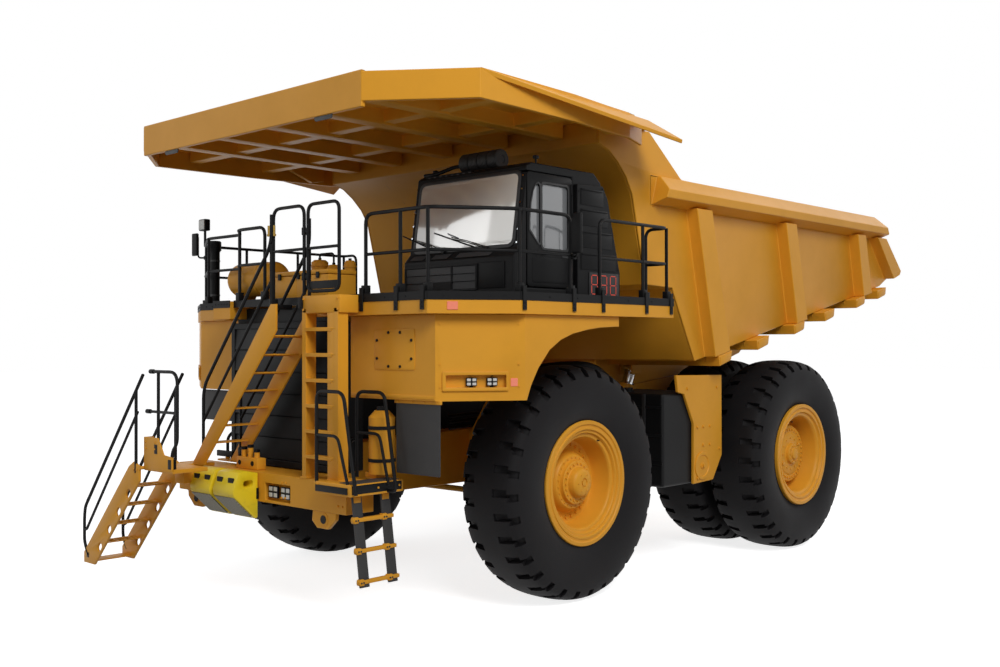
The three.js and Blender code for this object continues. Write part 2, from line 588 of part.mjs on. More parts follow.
function bodyFloor() {
  const inside = BODY_IN - GAP;
  const plate = slab('x', [[FLOOR_FRONT_Y + 1, floorZ(FLOOR_FRONT_Y)], [FLOOR_REAR_Y, floorZ(FLOOR_REAR_Y)],
    [FLOOR_REAR_Y, floorZ(FLOOR_REAR_Y) + FLOOR_PLATE],
    [FLOOR_FRONT_Y + 80, floorZ(FLOOR_FRONT_Y + 80) + FLOOR_PLATE]], -inside, inside);
  const bolster = (y, depth) => [
    slab('x', [[y, floorZ(y) - GAP], [y + 380, floorZ(y + 380) - GAP],
      [y + 330, floorZ(y + 380) - depth], [y + 30, floorZ(y) - depth]], -RIB_OUT, RIB_OUT),
    slab('x', [[y, floorZ(y) - 20], [y + 380, floorZ(y + 380) - 20], [y + 380, floorZ(y + 380) + 20],
      [y, floorZ(y) + 20]], -inside + 5, inside - 5),
  ];
  const bolsters = [2960, 4060, 5230, 6300, 7500, 8380].flatMap((y) => bolster(y, 150));
  const beamTop = (y) => floorZ(y) + 10;
  const beam = slab('x', [[2640, 2514], [6100, 2862], [7000, 3100], [8300, floorZ(8300) - 60],
    [8300, beamTop(8300)], [2660, beamTop(2660)]], FRAME_IN, FRAME_OUT);
  const ear = slab('x', [[6200, 3500], [6270, 2640], [6340, 2570], [6500, 2570], [6580, 2650],
    [6850, 3500]], FRAME_IN - 70, FRAME_IN - 8);
  const earTop = box(FRAME_IN - 70, FRAME_IN + 10, 6300, 6700, 3200, 3500);
  const hoistEar = (x) => slab('x', [[3180, floorZ(3180) + 10], [3240, 2790], [3460, 2790],
    [3520, floorZ(3520) + 10]], x, x + 30);
  const ejector = slab('x', [[4440, 3000], [4560, 3000], [4440, 3400], [4320, 3400]], 2100, 2180);
  const half = join(beam, ear, earTop, hoistEar(HOIST_X - 120), hoistEar(HOIST_X + 90), ejector);
  return join(plate, bolsters, half, flipped(half));
}

// A side: plate, four ribs, top rail and the wedge plates ahead of the rail.
function bodySide() {
  const plate = slab('x', [...WALL_FACE, [360, CANOPY_Z - GAP], [1500, CANOPY_Z - GAP], [2260, 5640],
    [2300, RAIL_TOP_Z], [8500, RAIL_TOP_Z - 90], [8800, 5330], [9440, 4640], [9380, 4560],
    [FLOOR_REAR_Y, floorZ(FLOOR_REAR_Y)]], BODY_IN, BODY_OUT);
  const lean = 0.225;
  const rib = (y, width) => {
    const bottom = floorZ(y + lean * 2000) + 2;
    const run = lean * (RAIL_LOW_Z - bottom);
    return slab('x', [[y, RAIL_LOW_Z + 20], [y + width, RAIL_LOW_Z + 20],
      [y + width + run, floorZ(y + width + run)], [y + run, floorZ(y + run)]], BODY_OUT - 5, RIB_OUT);
  };
  const rearRib = slab('x', [[8420, RAIL_LOW_Z + 20], [8800, RAIL_LOW_Z + 20], [9440, 4640],
    [9380, 4560], [9120, 4480]], BODY_OUT - 5, RIB_OUT);
  const rail = slab('y', [[BODY_OUT - 5, RAIL_LOW_Z], [3010, RAIL_LOW_Z + 90], [3020, 5400],
    [BODY_OUT + 60, RAIL_TOP_Z - 20], [BODY_OUT - 5, RAIL_TOP_Z - 20]], 1500, 8780);
  const noRail = slab('x', [[1400, 5100], [1400, 5700], [1700, 5700], [1500, 5100]], 2765, 3100);
  const railEnd = slab('x', [[8500, 5700], [8900, 5700], [8900, 5150], [8780, 5300]], 2700, 3100);
  return join(plate, rib(2400, 410), rib(5000, 350), rib(7600, 330), rearRib,
    cut(rail, noRail, railEnd));
}

function frontWall() {
  const inner = [[360, CANOPY_Z - GAP], [700, CANOPY_Z - GAP], [1300, 5500],
    [FLOOR_FRONT_Y + 110, floorZ(FLOOR_FRONT_Y + 110) + FLOOR_PLATE + GAP],
    [FLOOR_FRONT_Y + 80 - GAP, floorZ(FLOOR_FRONT_Y + 80) + FLOOR_PLATE + GAP],
    [FLOOR_FRONT_Y, FLOOR_FRONT_Z + 8]];
  return slab('x', [...WALL_FACE.slice(1), ...inner], -BODY_IN + GAP, BODY_IN - GAP);
}

function canopy() {
  const edge = [[CANOPY_NOSE_X, CANOPY_FRONT_Y], [CANOPY_SIDE_X, CANOPY_CORNER_Y], [3300, -800],
    [3200, 0], [3150, 500], [2950, 1050]];
  const half = [[0, CANOPY_FRONT_Y], ...edge, [2780, 1400], [0, 1400]];
  const outline = [...half, ...mirror(half)].filter(([x, y], i, all) =>
    all.findIndex(([u, v]) => u === x && v === y) === i);
  const plate = slab('z', outline, CANOPY_Z, CANOPY_TOP);
  const band = (t) => [...edge,
    ...edge.map(([x, y], i) => [x - (i ? t : t / 2), y + (i ? t / 2 : t)]).reverse()];
  const nose = box(-CANOPY_NOSE_X, CANOPY_NOSE_X, CANOPY_FRONT_Y, CANOPY_FRONT_Y + 60, BAND_LOW_Z,
    CANOPY_TOP + 20);
  const flank = slab('z', band(60), 5930, CANOPY_TOP);
  const wingTop = [[CANOPY_SIDE_X, CANOPY_CORNER_Y, CANOPY_TOP], [3050, 1050, CANOPY_TOP - 4],
    [3600, 1050, 5920]];
  const wing = fromSolid(wasm.Manifold.hull([...wingTop,
    ...wingTop.map(([x, y, z]) => [x - 12, y, z - 50])]));
  const beam = (x) => box(x - 110, x + 110, CANOPY_FRONT_Y + 50, 500, 6010, CANOPY_Z + 10);
  const cross = (y) => box(-3250, 3250, y - 90, y + 90, 6040, CANOPY_Z + 10);
  const rest = cut(join([0, 1100, 2100, -1100, -2100].map(beam), cross(-1900), cross(-600)),
    box(-BODY_IN - 100, BODY_IN + 100, 300, 2000, 5000, CANOPY_Z));
  return join(plate, nose, flank, flipped(flank), wing, flipped(wing), rest);
}

add('body_floor', bodyFloor(), YELLOW());
add('body_front_wall', frontWall(), YELLOW());
add('body_canopy', canopy(), YELLOW());
for (const [side, sign] of SIDES) {
  add(`body_${side}_side`, onSide(bodySide(), sign), YELLOW());
}

// ---- hoist cylinders ----------------------------------------------------------------------
const HOIST_LEAN = Math.atan2(HOIST_HEAD[0] - HOIST_FOOT[0], HOIST_HEAD[1] - HOIST_FOOT[1]);
const HOIST_LENGTH = Math.hypot(HOIST_HEAD[0] - HOIST_FOOT[0], HOIST_HEAD[1] - HOIST_FOOT[1]);

// Turned about the X axis and stood up along the cylinder's own line.
function alongHoist(profile) {
  return turned(profile, 12).rotateY(-Math.PI / 2);
}
const eye = (z) => rod([-75, 0, z], [75, 0, z], 100, 12);
const hoistBarrel = () => join(alongHoist([[160, 0], [160, 148], [1450, 148], [1450, 122], [190, 122],
  [190, 0]]), rod([0, 0, 0], [0, 0, 170], 70, 12), eye(0));
const hoistStage = () => alongHoist([[210, 96], [210, 114], [1490, 114], [1490, 96]]);
const hoistRod = () => join(alongHoist([[230, 0], [230, 86], [1690, 86], [1690, 0]]),
  eye(HOIST_LENGTH));

for (const [side, sign] of SIDES) {
  const parts = [['hoist_barrel', hoistBarrel, YELLOW], ['hoist_stage', hoistStage, STEEL],
    ['hoist_rod', hoistRod, STEEL]];
  for (const [name, make, colour] of parts) {
    const piece = add(`${side}_${name}`, make(), colour());
    piece.rotation.x = -HOIST_LEAN;
    piece.position.set(sign * HOIST_X, HOIST_FOOT[0], HOIST_FOOT[1]);
  }
}

// ---- centre the truck over its own footprint ----------------------------------------------
truck.updateMatrixWorld(true);
const bounds = new THREE.Box3().setFromObject(truck);
truck.position.y = -Math.round((bounds.min.y + bounds.max.y) / 2);

export default truck;
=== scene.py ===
"""A rigid-frame mining dump truck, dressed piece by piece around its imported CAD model.

Everything is in metres. The truck stands on the ground, faces -Y, and has its cab on its left,
which is +X. Places are given from the front axle, by at(x, y, z).
"""
import math

import bmesh
import bpy
from mathutils import Matrix, Vector


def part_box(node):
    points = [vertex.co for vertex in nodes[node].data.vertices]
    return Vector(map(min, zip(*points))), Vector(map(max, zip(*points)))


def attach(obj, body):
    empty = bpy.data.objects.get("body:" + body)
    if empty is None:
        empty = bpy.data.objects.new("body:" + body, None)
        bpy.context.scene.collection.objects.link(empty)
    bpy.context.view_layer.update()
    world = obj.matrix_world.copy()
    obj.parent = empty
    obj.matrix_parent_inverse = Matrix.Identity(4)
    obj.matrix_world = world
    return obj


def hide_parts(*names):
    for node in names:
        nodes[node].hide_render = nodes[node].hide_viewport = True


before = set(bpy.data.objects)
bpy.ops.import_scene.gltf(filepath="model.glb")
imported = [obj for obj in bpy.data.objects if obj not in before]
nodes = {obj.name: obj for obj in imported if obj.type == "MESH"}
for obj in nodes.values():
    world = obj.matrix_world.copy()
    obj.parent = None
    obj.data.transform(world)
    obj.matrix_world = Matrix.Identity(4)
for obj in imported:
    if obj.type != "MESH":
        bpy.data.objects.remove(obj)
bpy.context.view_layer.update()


# ---- Where the front axle is --------------------------------------------------------------------
# The wheel centre of the left front tyre gives the axle's place and height.
axle_low, axle_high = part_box("front_left_tyre")
AXLE_Y = (axle_low[1] + axle_high[1]) / 2
AXLE_Z = (axle_low[2] + axle_high[2]) / 2


def at(x, y, z):
    """A place given from the front axle."""
    return Vector((x, y + AXLE_Y, z))


AHEAD = (0, -1, 0)


# ---- Camera -------------------------------------------------------------------------------------
# A three-quarter view from the truck's front left, at a standing platform's height.
CAMERA_YAW = math.radians(42.8396)
CAMERA_RISE = math.radians(0.5332)
CAMERA_ROLL = math.radians(-0.1202)

camera_data = bpy.data.cameras.new("camera")
camera_data.sensor_width = 36
camera_data.lens = 39.693
camera_data.clip_end = 500
camera = bpy.data.objects.new("camera", camera_data)
bpy.context.collection.objects.link(camera)
camera.location = at(11.5747, -11.0525, 3.2774)
camera.rotation_euler = (
    Matrix.Rotation(CAMERA_YAW, 4, "Z")
    @ Matrix.Rotation(math.pi / 2 + CAMERA_RISE, 4, "X")
    @ Matrix.Rotation(CAMERA_ROLL, 4, "Z")
).to_euler()
bpy.context.scene.camera = camera


# ---- Floor, background and light ----------------------------------------------------------------
# A pale studio floor with a white background that the camera and shiny surfaces see.
def linear(hex_colour):
    """An sRGB colour such as "C8963C" as a linear RGBA tuple."""
    channels = [int(hex_colour[i:i + 2], 16) / 255 for i in (0, 2, 4)]
    return (*[c / 12.92 if c <= 0.04045 else ((c + 0.055) / 1.055) ** 2.4 for c in channels], 1)


def node(tree, kind, inputs=(), **settings):
    """Adds one node; an input is a value, or the socket that feeds it."""
    made = tree.nodes.new(kind)
    for key, value in settings.items():
        setattr(made, key, value)
    for key, value in dict(inputs).items():
        if isinstance(value, bpy.types.NodeSocket):
            tree.links.new(value, made.inputs[key])
        else:
            made.inputs[key].default_value = value
    return made


def blank_material(name):
    material = bpy.data.materials.new(name)
    material.use_nodes = True
    material.node_tree.nodes.clear()
    return material, material.node_tree


def maths(tree, operation, first, second):
    return node(tree, "ShaderNodeMath", {0: first, 1: second}, operation=operation).outputs[0]


def seen_directly(tree):
    """1 on rays from the camera, and on those that glossy and clear surfaces send on."""
    path = node(tree, "ShaderNodeLightPath").outputs
    first = maths(tree, "MAXIMUM", path["Is Camera Ray"], path["Is Glossy Ray"])
    return maths(tree, "MAXIMUM", first, path["Is Transmission Ray"])


world = bpy.data.worlds.new("studio")
bpy.context.scene.world = world
world.use_nodes = True
sky = world.node_tree
sky.nodes.clear()
dim = node(sky, "ShaderNodeBackground", {"Color": linear("F2F4F8"), "Strength": 0.34})
white = node(sky, "ShaderNodeBackground", {"Color": (1, 1, 1, 1), "Strength": 1.0})
seen = node(sky, "ShaderNodeMixShader", {0: seen_directly(sky), 1: dim.outputs[0],
                                         2: white.outputs[0]})
node(sky, "ShaderNodeOutputWorld", {"Surface": seen.outputs[0]})

floor_mesh = bmesh.new()
bmesh.ops.create_grid(floor_mesh, x_segments=1, y_segments=1, size=120,
                      matrix=Matrix.Translation((0, 0, -0.002)))
floor_data = bpy.data.meshes.new("floor")
floor_mesh.to_mesh(floor_data)
floor_mesh.free()
floor = bpy.data.objects.new("floor", floor_data)
bpy.context.collection.objects.link(floor)
floor_paint, tree = blank_material("studio_floor")
matte = node(tree, "ShaderNodeBsdfDiffuse", {"Color": linear("F4F4F4")})
bounce = node(tree, "ShaderNodeBsdfDiffuse", {"Color": linear("9C9A96")})
glow = node(tree, "ShaderNodeEmission", {"Color": (1, 1, 1, 1), "Strength": 0.8})
both = node(tree, "ShaderNodeAddShader", {0: matte.outputs[0], 1: glow.outputs[0]})
mixed = node(tree, "ShaderNodeMixShader", {0: seen_directly(tree), 1: bounce.outputs[0],
                                           2: both.outputs[0]})
node(tree, "ShaderNodeOutputMaterial", {"Surface": mixed.outputs[0]})
floor_data.materials.append(floor_paint)

for name, place, target, size, power in (
        ("key", (18, -11.5, 17), (0, -1, 2.5), 9, 3000),
        ("fill", (-14, -18, 9), (0, 0, 2.5), 12, 480),
        ("back", (6, 20, 14), (0, 0, 3), 12, 700)):
    lamp_data = bpy.data.lights.new(name, "AREA")
    lamp_data.size = size
    lamp_data.energy = power
    lamp = bpy.data.objects.new(name, lamp_data)
    bpy.context.collection.objects.link(lamp)
    lamp.location = place
    lamp.rotation_euler = (Vector(target) - Vector(place)).to_track_quat("-Z", "Y").to_euler()

bpy.context.scene.view_settings.view_transform = "Standard"


# ---- What every material is made with -----------------------------------------------------------
def new_material(name):
    """An empty material, its tree, and the piece's own coordinates for its patterns."""
    material, tree = blank_material(name)
    return material, tree, node(tree, "ShaderNodeTexCoord").outputs["Object"]


def noise(tree, place, scale, **inputs):
    """A cloudy pattern."""
    return node(tree, "ShaderNodeTexNoise", {"Vector": place, "Scale": scale,
                                             **inputs}).outputs["Fac"]


def cells(tree, place, scale, **inputs):
    """A pattern of cells, as the distance from the middle of each."""
    return node(tree, "ShaderNodeTexVoronoi", {"Vector": place, "Scale": scale,
                                               **inputs}).outputs["Distance"]


def bands(tree, place, scale, axis="X", **inputs):
    """A pattern of soft stripes across one axis."""
    return node(tree, "ShaderNodeTexWave", {"Vector": place, "Scale": scale, **inputs},
                bands_direction=axis).outputs["Fac"]


def remap(tree, value, low, high, start=0.0, end=1.0):
    """Carries what lies between start and end over to between low and high."""
    return node(tree, "ShaderNodeMapRange", {"Value": value, "From Min": start, "From Max": end,
                                             "To Min": low, "To Max": high}).outputs["Result"]


def blend(tree, share, first_hex, second_hex):
    """Two colours mixed by a pattern."""
    return node(tree, "ShaderNodeMix", {0: share, 6: linear(first_hex), 7: linear(second_hex)},
                data_type="RGBA").outputs[2]


def relief(tree, height, strength, distance=0.004):
    """A surface that rises and falls with a pattern."""
    return node(tree, "ShaderNodeBump", {"Height": height, "Strength": strength,
                                         "Distance": distance}).outputs["Normal"]


def finished(material, tree, inputs):
    """Ends a material with its one surface."""
    surface = node(tree, "ShaderNodeBsdfPrincipled", inputs)
    node(tree, "ShaderNodeOutputMaterial", {"Surface": surface.outputs[0]})
    return material


# ---- Tyres --------------------------------------------------------------------------------------
# Six rock-tread radials of black vulcanised rubber. The tread is moulded with a ring of deep,
# blind grooves across each shoulder, and the two rings are half a pitch apart.
LUGS = 32
COLUMNS = 6                       # mesh columns in one lug pitch, two of them the groove
GROOVE_DEPTH = 0.075
GROOVE_START = 0.14               # from the middle of the tread, where the groove runs out
GROOVE_END = 1.36                 # the radius it reaches down to on the shoulder
GROOVE_SWEEP = 0.9                # lug pitches for each metre towards the middle
TYRE_PROFILE = [(0.296, 0.652), (0.330, 0.700), (0.372, 0.795), (0.420, 0.880), (0.452, 0.985),
                (0.468, 1.090), (0.470, 1.190), (0.462, 1.280), (0.444, 1.352), (0.424, 1.398),
                (0.398, 1.432), (0.350, 1.460), (0.290, 1.478), (0.225, 1.489), (0.150, 1.496),
                (0.075, 1.499)]


def rubber(name, hex_colour, dust_hex):
    # Carbon-black rubber: near black, matt, a little browner where dust holds in the mould marks.
    material, tree, place = new_material(name)
    cloud = noise(tree, place, 2.2, Detail=6.0, Roughness=0.6)
    tone = node(tree, "ShaderNodeValToRGB", {"Fac": cloud})
    stops = tone.color_ramp.elements
    stops[0].position, stops[0].color = 0.35, linear(hex_colour)
    stops[1].position, stops[1].color = 0.75, linear(dust_hex)
    grain = noise(tree, place, 60.0, Detail=5.0)
    return finished(material, tree, {
        "Base Color": tone.outputs["Color"], "Roughness": remap(tree, cloud, 0.55, 0.8),
        "Normal": relief(tree, grain, 0.25), "Specular IOR Level": 0.15})


tyre_rubber = rubber("vulcanised_rubber", "0D0C0E", "161415")


def piece(name, body, bm, materials, stands_for=(), smooth=32):
    """Makes the bmesh an object on a body; edges sharper than smooth degrees stay crisp."""
    mesh = bpy.data.meshes.new(name)
    bm.to_mesh(mesh)
    bm.free()
    for material in materials:
        mesh.materials.append(material)
    mesh.shade_smooth()
    mesh.set_sharp_from_angle(angle=math.radians(smooth))
    made = bpy.data.objects.new(name, mesh)
    bpy.context.collection.objects.link(made)
    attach(made, body)
    if stands_for:
        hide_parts(*stands_for)
    return made


def painted(bm, before, mat):
    """Gives a material to the faces made since before was taken."""
    for face in bm.faces:
        if face not in before:
            face.material_index = mat


def closed_up(bm, before, mat):
    """Joins the doubled corners of the new faces, turns them outwards and paints them."""
    faces = [f for f in bm.faces if f not in before]
    bmesh.ops.remove_doubles(bm, verts=list({v for f in faces for v in f.verts}), dist=1e-5)
    faces = [f for f in bm.faces if f not in before]
    bmesh.ops.recalc_face_normals(bm, faces=faces)
    painted(bm, before, mat)


def spun(bm, profile, centre, steps, mat=0):
    """Turns a closed profile of (x, radius) about the X axis through centre."""
    ring = [bm.verts.new(centre + Vector((x, 0, r))) for x, r in profile]
    loop = [bm.edges.new(pair) for pair in zip(ring, ring[1:] + ring[:1])]
    before = set(bm.faces)
    bmesh.ops.spin(bm, geom=ring + loop, cent=centre, axis=(1, 0, 0), angle=math.tau,
                   steps=steps, use_merge=True)
    closed_up(bm, before, mat)


def tyre(name, body, x_centre, y_centre):
    bm = bmesh.new()
    centre = at(x_centre, y_centre, AXLE_Z)
    half = [(-x, r) for x, r in TYRE_PROFILE]
    inner_wall = [(0.270, 0.672), (-0.270, 0.672)]
    profile = half + [(0, 1.5)] + TYRE_PROFILE[::-1] + inner_wall
    spun(bm, profile, centre, LUGS * COLUMNS)
    for side in (1, -1):
        groove = []
        for face in bm.faces:
            middle = face.calc_center_median() - centre
            reach = middle.x * side
            radius = math.hypot(middle.y, middle.z)
            turn = math.atan2(middle.z, middle.y) / math.tau * LUGS + (0.5 if side < 0 else 0)
            column = math.floor(((turn + (0.44 - reach) * GROOVE_SWEEP) % 1) * COLUMNS)
            if column < 2 and reach > GROOVE_START and radius > GROOVE_END:
                groove.append(face)
        made = bmesh.ops.extrude_face_region(bm, geom=groove)
        bmesh.ops.delete(bm, geom=groove, context="FACES")
        for vert in (g for g in made["geom"] if isinstance(g, bmesh.types.BMVert)):
            arm = vert.co - centre
            reach = arm.x * side
            arm.x = 0
            depth = GROOVE_DEPTH * min(1.0, 0.35 + (reach - GROOVE_START) / 0.12)
            vert.co -= arm.normalized() * depth
    piece(name, body, bm, [tyre_rubber], [name.replace("_skin", "")], 38)


WHEELBASE = 5.18
FRONT_X, OUTER_X, INNER_X = 2.425, 2.680, 1.605
for side, sign in (("left", 1), ("right", -1)):
    tyre(f"front_{side}_tyre_skin", f"front_{side}_wheel", sign * FRONT_X, 0)
    tyre(f"rear_{side}_outer_tyre_skin", f"rear_{side}_wheels", sign * OUTER_X, WHEELBASE)
    tyre(f"rear_{side}_inner_tyre_skin", f"rear_{side}_wheels", sign * INNER_X, WHEELBASE)


# ---- Yellow machine enamel ----------------------------------------------------------------------
# Two-pack polyurethane enamel sprayed on steel plate: a deep amber yellow with a soft gloss, the
# faint orange peel of a sprayed coat, and a film of dust that dulls it in patches.
def enamel(name, hex_colour, shade_hex, roughness=0.42, shine=0.2):
    material, tree, place = new_material(name)
    patches = noise(tree, place, 0.9, Detail=8.0, Roughness=0.62)
    dusty = remap(tree, patches, 0.0, 0.5, 0.38, 0.75)
    peel = noise(tree, place, 110.0, Detail=2.0)
    return finished(material, tree, {
        "Base Color": blend(tree, dusty, hex_colour, shade_hex),
        "Roughness": remap(tree, patches, roughness - 0.08, roughness + 0.12),
        "Normal": relief(tree, peel, 0.06), "Specular IOR Level": shine})


yellow = enamel("polyurethane_enamel_amber", "E4A02D", "CA8E2A")
black = enamel("polyurethane_enamel_black", "0B0B0C", "121212", roughness=0.5, shine=0.13)


def dressed(name, body, sources, materials, ease=0.007, smooth=32):
    """A merged copy of CAD nodes with its cut edges eased, shown in their place."""
    bm = bmesh.new()
    for source in sources:
        bm.from_mesh(nodes[source].data)
    bmesh.ops.remove_doubles(bm, verts=bm.verts, dist=2e-5)
    bmesh.ops.dissolve_limit(bm, angle_limit=math.radians(0.6), verts=bm.verts, edges=bm.edges)
    for face in bm.faces:
        face.material_index = 0
    made = piece(name, body, bm, materials, sources, smooth)
    edges = made.modifiers.new("eased_edges", "BEVEL")
    edges.width = ease
    edges.segments = 2
    edges.limit_method = "ANGLE"
    edges.angle_limit = math.radians(35)
    edges.use_clamp_overlap = False
    edges.harden_normals = True
    return made


# ---- Frame, axle and steering -------------------------------------------------------------------
# Box-section rails welded from plate, the banjo axle casting, the strut housings, the knuckles and
# the track rod, all in the machine's enamel over rough castings.
dressed("main_frame_steel", "chassis", ["main_frame"], [yellow], 0.012)
dressed("rear_axle_casting", "chassis", ["rear_axle"], [yellow], 0.015)
dressed("track_rod_steel", "track_rod", ["track_rod"], [yellow], 0.006)
for side in ("left", "right"):
    dressed(f"{side}_knuckle_casting", f"{side}_knuckle", [f"{side}_knuckle"], [yellow],
            0.012)


# ---- Engine -------------------------------------------------------------------------------------
# The diesel behind the radiator: a black-enamelled block, only its outline showing past the frame.
dressed("engine_casting", "chassis", ["engine_block"], [black], 0.03)


# ---- Bumper -------------------------------------------------------------------------------------
# A welded box beam with a lamp recess in its face and two tow plates hanging below it.
def cylinder(bm, start, end, radius, sides=24, mat=0, end_radius=None):
    """A round bar or a cone from start to end."""
    way = Vector(end) - Vector(start)
    turn = way.to_track_quat("Z", "Y").to_matrix().to_4x4()
    matrix = Matrix.Translation((Vector(start) + Vector(end)) / 2) @ turn
    before = set(bm.faces)
    bmesh.ops.create_cone(bm, cap_ends=True, segments=sides, radius1=radius,
                          radius2=radius if end_radius is None else end_radius,
                          depth=way.length, matrix=matrix)
    painted(bm, before, mat)


def upright(bm, x, y, z0, z1, radius, sides=24, mat=0, end_radius=None):
    """A cylinder that stands at x and y, from z0 up to z1."""
    cylinder(bm, at(x, y, z0), at(x, y, z1), radius, sides, mat, end_radius)


def block(bm, low, high, mat=0, ease=0.0, segments=2, frame_at=Matrix()):
    """A rectangular block between two corners, its edges rounded by ease."""
    low, high = Vector(low), Vector(high)
    size = high - low
    before = set(bm.faces)
    made = bmesh.ops.create_cube(bm, size=1.0, matrix=frame_at @ Matrix.Translation(
        (low + high) / 2) @ Matrix.Diagonal((*size, 1)))
    if ease:
        edges = list({e for v in made["verts"] for e in v.link_edges})
        bmesh.ops.bevel(bm, geom=edges, offset=ease, affect="EDGES", segments=segments,
                        profile=0.5, material=-1)
    painted(bm, before, mat)


def bolts(bm, places, way, radius=0.016, height=0.014, mat=0):
    """Hexagon bolt heads standing on a face that looks along way."""
    way = Vector(way).normalized()
    for place in places:
        cylinder(bm, place - way * 0.002, place + way * height, radius, 6, mat, radius * 0.94)


def ring_of(centre, radius, count, shift=0.0):
    """Places round a circle that faces along X."""
    turns = [math.tau * (i + shift) / count for i in range(count)]
    return [centre + Vector((0, radius * math.cos(t), radius * math.sin(t))) for t in turns]


def lens(name, hex_colour, strength):
    # Moulded acrylic over a reflector: pale, shiny, with a fine prism pattern under the surface.
    # The emission by strength is the lamp's own light on a lamp lens, and a painted glow on the
    # reflector, which is no lamp.
    material, tree, place = new_material(name)
    return finished(material, tree, {
        "Base Color": linear(hex_colour), "Roughness": 0.15,
        "Normal": relief(tree, cells(tree, place, 60.0), 0.3),
        "Emission Color": linear(hex_colour), "Emission Strength": strength})


lamp_lens = lens("clear_lamp_acrylic", "C9C9C4", 0.05)
# The orange reflector has no lamp behind it: its emission of 0.1 is a painted glow.
reflector_with_painted_glow = lens("orange_reflector_painted_glow", "F08468", 0.1)


def led_lamp(bm, frame_at, u, z, out, w=0.090, h=0.055):
    """A square black housing with four clear cells; materials black, lens, yellow."""
    block(bm, (u - w, -out, z - h), (u + w, -out + 0.03, z + h), 0, 0.008, 2, frame_at)
    for cu in (-0.5, 0.5):
        for cz in (-0.5, 0.5):
            block(bm, (u + cu * w - w * 0.36, -out - 0.004, z + cz * h - h * 0.34),
                  (u + cu * w + w * 0.36, -out + 0.004, z + cz * h + h * 0.34), 1, 0.004, 1,
                  frame_at)


dressed("bumper_beam", "chassis", ["front_bumper"], [yellow], 0.008)
bm = bmesh.new()
for x in (0.33, 0.58):
    led_lamp(bm, Matrix.Translation(at(0, -2.99, 0)), x, 1.4675, 0.034, 0.095, 0.075)
for sign in (1, -1):
    bolts(bm, [at(sign * x, -3.052, z) for x in (0.55, 0.62, 1.62, 1.70) for z in (1.42, 1.60)],
          AHEAD, 0.014, 0.012, 2)
    cylinder(bm, at(sign * 1.35, -3.05, 1.24), at(sign * 1.35, -3.03, 1.24), 0.075, 24, 2, 0.085)
    cylinder(bm, at(sign * 1.35, -3.055, 1.24), at(sign * 1.35, -3.045, 1.24), 0.050, 24, 0)
piece("bumper_lamps", "chassis", bm, [black, lamp_lens, yellow])


# ---- Front wheels -------------------------------------------------------------------------------
# Five-piece steel rims in enamel: a lock ring and flange outside, a deep dished disc bolted to the
# hub, and the domed cover of the wheel bearing in the middle.
FRONT_RIM = [(0.374, 0.798), (0.396, 0.800), (0.407, 0.792), (0.407, 0.752), (0.398, 0.742),
             (0.390, 0.738), (0.390, 0.712), (0.399, 0.706), (0.399, 0.684), (0.389, 0.676),
             (0.374, 0.672), (0.374, 0.644), (0.362, 0.634), (0.338, 0.628), (0.334, 0.592),
             (0.322, 0.580), (0.300, 0.574), (0.085, 0.548), (0.058, 0.532), (0.050, 0.500),
             (0.050, 0.425), (0.062, 0.404), (0.130, 0.372), (0.176, 0.350), (0.186, 0.336),
             (0.188, 0.292), (0.200, 0.284), (0.242, 0.280), (0.248, 0.272), (0.248, 0.208),
             (0.256, 0.198), (0.318, 0.184), (0.344, 0.168), (0.358, 0.140), (0.366, 0.090),
             (0.366, 0.060), (0.352, 0.054), (0.352, 0.0)]
RIM_BACK = [(-0.320, 0.0), (-0.320, 0.330), (-0.110, 0.340), (-0.090, 0.540), (-0.400, 0.610),
            (-0.408, 0.645), (-0.408, 0.798), (-0.374, 0.798), (-0.332, 0.668), (-0.300, 0.642),
            (0.300, 0.642), (0.332, 0.668)]
for side, sign in (("left", 1), ("right", -1)):
    bm = bmesh.new()
    hub = at(sign * FRONT_X, 0, AXLE_Z)
    spun(bm, [(sign * x, r) for x, r in FRONT_RIM + RIM_BACK], hub, 72)
    out = Vector((sign, 0, 0))
    bolts(bm, ring_of(hub + out * 0.050, 0.470, 28), out, 0.020, 0.022)
    bolts(bm, ring_of(hub + out * 0.248, 0.240, 20), out, 0.015, 0.016)
    bolts(bm, ring_of(hub + out * 0.187, 0.316, 24, 0.5), out, 0.010, 0.012)
    bolts(bm, ring_of(hub + out * 0.363, 0.115, 6), out, 0.010, 0.006)
    cylinder(bm, hub + out * 0.345, hub + out * 0.366, 0.040, 8)
    for turn in ring_of(Vector((0, 0, 0)), 1, 4, 0.5):
        tip = hub + out * 0.352 + turn * 0.046
        block(bm, tip - Vector((0.008, 0.008, 0.008)), tip + Vector((0.008, 0.008, 0.008)), 0)
    valve = ring_of(hub + out * 0.30, 0.602, 12)[2]
    cylinder(bm, valve, valve + out * 0.07, 0.009, 8, 1)
    piece(f"front_{side}_rim_steel", f"front_{side}_wheel", bm, [yellow, black],
          [f"front_{side}_rim"])


# ---- Rear wheels --------------------------------------------------------------------------------
# Twin rims on each end of the axle. The outer one is an open bowl, with the cover of the planetary
# final drive at the bottom of it and the drive shaft's small bolted cap in the middle.
REAR_RIM = [(3.062, 0.798), (3.108, 0.800), (3.121, 0.790), (3.121, 0.748), (3.112, 0.738),
            (3.098, 0.732), (3.098, 0.706), (3.108, 0.700), (3.108, 0.676), (3.092, 0.668),
            (3.074, 0.660), (3.068, 0.622), (3.050, 0.604), (3.020, 0.594), (2.740, 0.566),
            (2.712, 0.552), (2.704, 0.530), (2.704, 0.482), (2.714, 0.470), (2.800, 0.462),
            (2.868, 0.452), (2.884, 0.438), (2.888, 0.420), (2.888, 0.345), (2.896, 0.335),
            (2.904, 0.320), (2.906, 0.180), (2.914, 0.168), (2.952, 0.158), (2.962, 0.146),
            (2.964, 0.098), (2.974, 0.090), (2.992, 0.084), (2.998, 0.070), (2.998, 0.0)]
